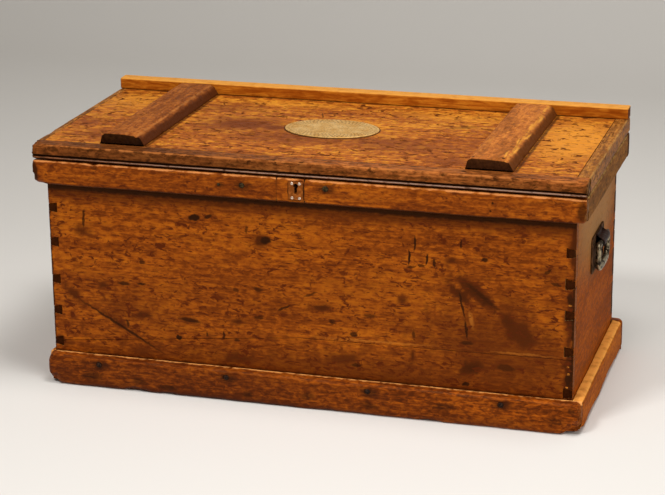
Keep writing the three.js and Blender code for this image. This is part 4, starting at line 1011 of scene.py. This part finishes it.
def batten(node, shoulder, seed):
    """A batten with a steep left flank and a wide right one, worn round to a shoulder radius."""
    low, high = box_mm(node)
    left, right, seat, top = low[0], high[0], low[2], high[2]
    corners = [(left, seat, 0.5), (right, seat, 0.5), (right - 1, seat + 3, 3),
               (right - 8, top - 4, shoulder / 2), (right - 16, top, shoulder), (left + 11, top, 10),
               (left + 4, top - 4, 6)]
    arrises = [(left + 4, top - 1), (right - 14, top - 1)]
    chips = [((right - 20, low[1] + 4, top), (16, 12, 6), 1.4),
             ((right, low[1] + 90, seat), (6, 9, 5), 1.5)]
    part = moulding(rounded_outline(corners, 4.0), low[1], high[1], "y", 2.0, 1.6, 0.5, arrises,
                    arrises[1:], 4.0, chips, seed)
    wood = make_piece(f"{node}_wood", [part], batten_woods[node], node)
    # Painted shade down the right flank, which is turned from the lamps
    lay_grime_and_shade(wood, "xy", [(right - 2, 0, 12, 3000, 0, 0.9, 0.66)])


lid_front_edge()
batten("left_batten", 18, 91)
batten("right_batten", 7, 93)
# The whole top takes the pale rubbed tone: wear and a painted highlight where the light falls
board("lid_back_rail", rail_pine, "rail_pine", 81, radius=1.0, spacing=(8, 6, 6), nibble=0.2,
      edges=[((0, -1, 1), 2), ((0, 1, 1), 2)], rubbed=[(0, 0, 1)], wave=0.08)

# Rusted plates are a dull brown with no gleam, and iron blacked and waxed has a low dark one.
# Bars that hands have rubbed are bright with dark hollows, and nails under old wax are dull.
# Filed lock steel is a clean grey, new pins are paler, and tarnished brass is a flat brown.
plate_iron = old_metal("rusty_plate_iron", "#64432a", "#3a2616", 0.0, 0.7, 8, 0.5, 1.6, 0.3, 0.05)
black_iron = old_metal("waxed_black_iron", "#211513", "#3e2620", 0.6, 0.42, 9, 0.5, 1.6, 0.3, 0.2)
worn_iron = old_metal("handled_iron", "#b0a080", "#2e241a", 0.85, 0.26, 7, 0.6, 2.0, 0.3)
nail_iron = old_metal("dull_nail_iron", "#46371a", "#1e1408", 0.2, 0.6, 4, 0.6, 1.5, 0.3, 0.15)
rubbed_nail_iron = old_metal("rubbed_nail_iron", "#40281a", "#180d07", 0.1, 0.45, 3, 0.7, 1.5, 0.5, 0.12)
grey_steel = old_metal("grey_steel", "#8f8d88", "#5b5148", 0.95, 0.3, 9, 0.4, 1.5)
bright_steel = old_metal("bright_pin_steel", "#e3cdb8", "#b59a84", 0.9, 0.32, 2, 0.3, 1.0)
tarnished_brass = old_metal("tarnished_brass", "#a05820", "#7d4215", 0.1, 0.55, 5, 0.6, 1.2, 0.0, 0.06)


def domed_head(place, direction, radius, dome, seed):
    """A hand-made nail head: round but not true, with the hammer's facets."""
    profile = [(radius * 0.6, -0.6), (radius, -0.3), (radius, dome * 0.18), (radius * 0.86, dome * 0.52),
               (radius * 0.58, dome * 0.82), (radius * 0.25, dome * 0.97), (radius * 0.05, dome)]
    return turned(profile, place, direction, 18, 0.045, seed)


def screw_head(place, direction, radius, turn):
    """A low slotted screw head, drawn as a disc with two raised halves beside the slot."""
    parts = [turned([(radius, -0.3), (radius, 0.2), (radius * 0.9, 0.25)], place, direction)]
    spin = facing(direction) @ np.array(Matrix.Rotation(math.radians(turn), 3, "Z"))
    slot = 0.17
    start = math.asin(slot)
    edge = np.array([(math.cos(a), math.sin(a)) for a in np.linspace(start, math.pi - start, 14)])
    for side in (1, -1):
        points = []
        for share, height in ((1.0, 0.2), (0.97, 0.5), (0.8, 0.8)):
            ring = edge * radius * share
            ring[:, 1] = np.maximum(ring[:, 1], slot * radius)
            points += [(x * side, y * side, height) for x, y in ring]
        parts.append(plain(np.array(points) @ spin.T + np.array(place), ring_faces(3, len(edge))))
    return parts


def nail_heads(row, count, under, finish, seed, radius=None, dome=None):
    """A row of heads on the front of the piece under them, as wide as packed if no size is given."""
    for i in range(count):
        node = f"{row}_{i + 1}"
        low, high = box_mm(node)
        x, _, z = (low + high) / 2
        wide = radius or (high[0] - low[0]) / 2
        head = domed_head((x, front_of(under), z), (0, -1, 0), wide, dome or 0.42 * wide, seed + i)
        make_piece(f"{node}_head", [head], finish, node)


nail_heads("plinth_nail", 4, "plinth_front", rubbed_nail_iron, 300, 4.3, 2.1)
nail_heads("rim_nail", 3, "keyhole_patch", nail_iron, 310)
nail_heads("scutcheon_pin", 4, "scutcheon", bright_steel, 320, 2.6, 1.05)


def keep_node(node, finish, bevel_mm):
    """A CAD part whose shape is right, with a better finish and a fine bevel."""
    piece = frame["nodes"][node]
    piece.data.materials.clear()
    piece.data.materials.append(finish)
    step = piece.modifiers.new("fine_bevel", "BEVEL")
    step.width = bevel_mm * MM
    step.segments = 2
    step.limit_method = "ANGLE"
    step.angle_limit = math.radians(40)


keep_node("scutcheon", tarnished_brass, 0.25)
for lock_part in ("lock_case", "lock_cover", "lock_strike"):
    keep_node(lock_part, black_iron, 0.4)
for lock_part in ("lock_bolt", "bolt_spring", "key_pin", "lock_ward"):
    keep_node(lock_part, grey_steel, 0.2)


def bail(side):
    """The bail: a round bar forged into a closed D, a little thicker at the grip."""
    node = f"{side}_handle_bail"
    low, high = box_mm(node)
    bar, grip, clear, sides = 5.0, 6.2, 0.1, 20
    across, middle, _ = (low + high) / 2
    pivot = high[2] - bar
    half, drop = (high[1] - low[1]) / 2 - bar, pivot - low[2] - grip - clear
    path = rounded_outline([(half, 0, 8), (-half, 0, 8), (-half, -drop, 18), (half, -drop, 18)], 4.0, 8)
    along = unit(np.roll(path, -1, 0) - np.roll(path, 1, 0))
    share = np.clip((-path[:, 1] - drop + 20) / 20, 0, 1) * np.clip(1 - (path[:, 0] / half) ** 2, 0, 1)
    size = (bar + (grip - bar) * share)[:, None]
    angles = np.arange(sides) * 2 * math.pi / sides
    points = np.zeros((len(path), sides, 3))
    points[:, :, 0] = across + size * np.sin(angles)
    points[:, :, 1] = middle + path[:, :1] + along[:, 1:] * size * np.cos(angles)
    points[:, :, 2] = pivot + path[:, 1:] - along[:, :1] * size * np.cos(angles)
    flat = points.reshape(-1, 3)
    centre = np.column_stack([np.full(len(path), across), middle + path[:, 0], pivot + path[:, 1]])
    centre = np.repeat(centre, sides, 0)
    flat = centre + (flat - centre) * (0.985 + 0.015 * ripple(flat * MM, 12, 7))[:, None]
    faces = [face[:1] + face[:0:-1] for face in ring_faces(len(path), sides, closed=True)]
    make_piece(f"{side}_bail", [plain(flat, faces)], worn_iron, node)


def handle(side, sign):
    """A drop handle: a plate with its screws, a keeper strap with its rivets, and the bail."""
    low, high = box_mm(f"{side}_handle_plate")
    corners = [(low[1], low[2], 10), (high[1], low[2], 10), (high[1], high[2], 10), (low[1], high[2], 10)]
    plate = moulding(rounded_outline(corners, 6, 8), low[0], high[0], "x", 0.7, 0.3, 0.1, spacing=3, seed=7)
    make_piece(f"{side}_plate", [plate], plate_iron, f"{side}_handle_plate")
    face = low[0] if sign < 0 else high[0]
    places = [(face, y, z) for z in (low[2] + 10, high[2] - 9) for y in (low[1] + 9, high[1] - 9)]
    screws = []
    for i, place in enumerate(places):
        screws += screw_head(place, (sign, 0, 0), 4, 25 + 47 * i)
    added_piece(f"{side}_handle_screws", screws, nail_iron, "case")
    bail(side)

    low, high = box_mm(f"{side}_handle_keeper")
    _, along, middle = (low + high) / 2
    seat, reach = (high[0], low[0]) if sign < 0 else (low[0], high[0])
    thick, inner, foot, rivet_y, rivet_z = 2.5, 5.5, 14, 18, 11
    outer = inner + thick
    centre, outside = reach - sign * outer, seat + sign * thick
    corners = [(seat, middle + foot, 0.4), (seat, middle + inner, 0),
               *arc(centre, middle, inner, 90, 90 - 180 * sign, 14),
               (seat, middle - inner, 0), (seat, middle - foot, 0.4),
               (outside, middle - foot, 0.8), (outside, middle - outer, 1.0),
               *arc(centre, middle, outer, 90 - 180 * sign, 90, 14),
               (outside, middle + outer, 1.0), (outside, middle + foot, 0.8)]
    strap = moulding(rounded_outline(corners, 6, 4), low[1], high[1], "y", 0.8, 0.3, 0.1, spacing=5, seed=9)
    make_piece(f"{side}_keeper", [strap], black_iron, f"{side}_handle_keeper")
    rivets = [domed_head((outside, along + y, middle + z), (sign, 0, 0), 2.2, 1.2, 330 + y + z)
              for y in (-rivet_y, rivet_y) for z in (-rivet_z, rivet_z)]
    added_piece(f"{side}_keeper_rivets", rivets, nail_iron, "case")


handle("left", -1)
handle("right", 1)


def hinge(side):
    """A butt hinge: two leaves with their knuckles, a pin, and the screws of both leaves."""
    keep_node(f"{side}_hinge_case_leaf", black_iron, 0.35)
    keep_node(f"{side}_hinge_lid_leaf", black_iron, 0.35)
    keep_node(f"{side}_hinge_pin", black_iron, 0.3)
    low, high = box_mm(f"{side}_hinge_case_leaf")
    leaf = 2.5
    middle, face = (low[0] + high[0]) / 2, low[1] + leaf
    lid_row = box_mm(f"{side}_hinge_lid_leaf")[1][2] - 14
    for body, height in (("case", low[2] + 13), ("lid", lid_row)):
        screws = []
        for i, x in enumerate((-20, 0, 20)):
            screws += screw_head((middle + x, face, height), (0, 1, 0), 3.6, 15 + 61 * i)
        added_piece(f"{side}_hinge_{body}_screws", screws, nail_iron, body)


hinge("left")
hinge("right")


def plaque_finish():
    """Pale brass, rubbed and dulled by polish, with dirt left in the punched dots."""
    finish, tree = new_finish("rubbed_pale_brass")
    # Haze in clouds of 18 mm, scuffs of 4 mm, and dimples 5 mm by 10 mm
    spot = add(tree, "TexCoord").outputs["Object"]
    haze = add(tree, "TexNoise", {"Vector": spot, "Scale": 55.0, "Detail": 4.0})
    scuffs = add(tree, "TexNoise", {"Vector": spot, "Scale": 260.0, "Detail": 3.0})
    dulled = add(tree, "MapRange", {"Value": haze, "From Min": 0.35, "From Max": 0.68})
    inputs = {0: dulled, 6: linear("#e9bd74"), 7: linear("#c99548")}
    colour = add(tree, "Mix", inputs, data_type="RGBA").outputs[2]
    spotted = add(tree, "MapRange", {"Value": scuffs, "From Min": 0.56, "From Max": 0.7, "To Max": 0.5})
    stretched = add(tree, "VectorMath", {0: spot, 1: (210, 105, 1)}, operation="MULTIPLY")
    inputs = {"Vector": stretched, "Scale": 1.0, "Randomness": 0.6}
    stipple = add(tree, "TexVoronoi", inputs).outputs["Distance"]
    dimpled = add(tree, "MapRange", {"Value": stipple, "From Min": 0.34, "From Max": 0.16, "To Max": 0.45})
    blotted = add(tree, "Math", {0: spotted, 1: dimpled}, operation="MAXIMUM")
    punched = add(tree, "Attribute", attribute_name="rubbed").outputs["Fac"]
    soiled = add(tree, "Math", {0: blotted, 1: punched}, operation="MAXIMUM")
    inputs = {0: soiled, 6: colour, 7: linear("#6b4018")}
    colour = add(tree, "Mix", inputs, data_type="RGBA").outputs[2]
    roughness = add(tree, "MapRange", {"Value": dulled, "To Min": 0.42, "To Max": 0.58})
    bump = add(tree, "Bump", {"Height": scuffs, "Strength": 0.4, "Distance": 0.0004})
    inputs = {"Base Color": colour, "Metallic": 0.55, "Roughness": roughness, "Normal": bump}
    add(tree, "OutputMaterial", {"Surface": add(tree, "BsdfPrincipled", inputs)})
    return finish


def plaque():
    """The oval plate: thin and crowned at its rim, with a border of punched dots and a bare middle."""
    low, high = box_mm("plaque")
    centre, half = (low + high) / 2, (high - low) / 2
    steps, rows, pitch, dot, sink, under = 480, (6, 13, 20), 8, 2.4, 0.5, -1.9
    angles = np.arange(steps) * 2 * math.pi / steps
    # Each ring is how far it lies in from the rim and its height against the flat of the plate
    drawn = [(0, under), (0, -0.9), (1, -0.25)]
    drawn += [(inset, 0.0) for inset in (*range(2, 25), 34, 44, 54, half[1] - 1)]
    rings, soiled = [], []
    for inset, height in drawn:
        punched = np.zeros(steps)
        for row, place in enumerate(rows):
            along = np.abs((np.arange(steps) + pitch // 2 * row) % pitch - pitch // 2)
            punched = np.maximum(punched, (along > dot) * np.clip(dot - abs(inset - place), 0, 1))
        around = [(half[0] - inset) * np.cos(angles), (half[1] - inset) * np.sin(angles)]
        rings.append(np.stack([*around, height - sink * punched], 1))
        soiled.append(punched * 0.85)
    points = np.concatenate(rings) + [centre[0], centre[1], high[2] - 0.02]
    part = (points * MM, ring_faces(len(rings), steps), np.concatenate(soiled), np.zeros(len(points)))
    make_piece("oval_plaque", [part], plaque_finish(), "plaque")


plaque()

# The photograph's camera, worked out from the chest's own edges: metres and degrees
FOCAL_PX, PICTURE_WIDTH_PX, SENSOR_MM = 2134.24, 665, 36
CAMERA_PLACE = Vector((1.0199, -3.48984, 1.3932))
CAMERA_YAW, CAMERA_PITCH, CAMERA_ROLL = 16.458, 17.877, -0.529


def set_camera():
    """The photograph's camera: turned from the front by its yaw, down by its pitch, then rolled."""
    yaw, pitch, roll = (math.radians(a) for a in (CAMERA_YAW, CAMERA_PITCH, CAMERA_ROLL))
    level = Vector((math.cos(yaw), math.sin(yaw), 0))
    ahead = Vector((-math.sin(yaw), math.cos(yaw), 0))
    forward = math.cos(pitch) * ahead - math.sin(pitch) * Vector((0, 0, 1))
    upward = math.cos(pitch) * Vector((0, 0, 1)) + math.sin(pitch) * ahead
    right = math.cos(roll) * level + math.sin(roll) * upward
    up = math.cos(roll) * upward - math.sin(roll) * level
    data = bpy.data.cameras.new("camera")
    data.sensor_width = SENSOR_MM
    data.lens = FOCAL_PX * SENSOR_MM / PICTURE_WIDTH_PX
    camera = in_scene("camera", data)
    turn = Matrix((right, up, -forward)).transposed().to_4x4()
    camera.matrix_world = Matrix.Translation(CAMERA_PLACE) @ turn
    bpy.context.scene.camera = camera


def soft_lamp(name, place, target, size, power):
    """A studio's soft box, aimed at a target."""
    data = bpy.data.lights.new(name, "AREA")
    data.shape = "RECTANGLE"
    data.size, data.size_y = size
    data.energy = power
    lamp = in_scene(name, data)
    lamp.location = place
    lamp.rotation_euler = (Vector(target) - Vector(place)).to_track_quat("-Z", "Y").to_euler()


def studio():
    """A pale floor that curves up into a backdrop, which is clear when seen from behind."""
    finish, tree = new_finish("pale_paper")
    inputs = {
        0: add(tree, "NewGeometry").outputs["Backfacing"],
        1: add(tree, "BsdfPrincipled", {"Base Color": linear("#dedad4"), "Roughness": 0.9}),
        2: add(tree, "BsdfTransparent"),
    }
    add(tree, "OutputMaterial", {"Surface": add(tree, "MixShader", inputs)})
    bend, behind, front, top, half_width = 1.2, 2.2, -9.0, 6.0, 8.0
    profile = [(front, 0.0, 0), *arc(behind, bend, bend, -90, 0, 16), (behind + bend, top, 0)]
    points = [(x, y, z) for y, z, _ in profile for x in (-half_width, half_width)]
    faces = [(2 * i, 2 * i + 1, 2 * i + 3, 2 * i + 2) for i in range(len(profile) - 1)]
    mesh = bpy.data.meshes.new("paper_sweep")
    mesh.from_pydata(points, [], faces)
    mesh.materials.append(finish)
    mesh.polygons.foreach_set("use_smooth", [True] * len(mesh.polygons))
    in_scene("paper_sweep", mesh)
    world = bpy.data.worlds.new("studio_air")
    world.use_nodes = True
    air = world.node_tree.nodes["Background"].inputs
    air["Color"].default_value = linear("#fffaf2")
    air["Strength"].default_value = 0.23
    bpy.context.scene.world = world


set_camera()
studio()
soft_lamp("overhead", (0.6, -0.4, 2.7), (0, 0, 0.3), (1.2, 0.8), 46)
soft_lamp("front_key", (-0.6, -2.1, 2.9), (0, -0.1, 0.25), (0.7, 0.5), 54)
soft_lamp("right_fill", (3.1, -2.0, 1.3), (0.2, 0, 0.2), (1.6, 1.6), 43)
bpy.context.scene.view_settings.view_transform = "Standard"
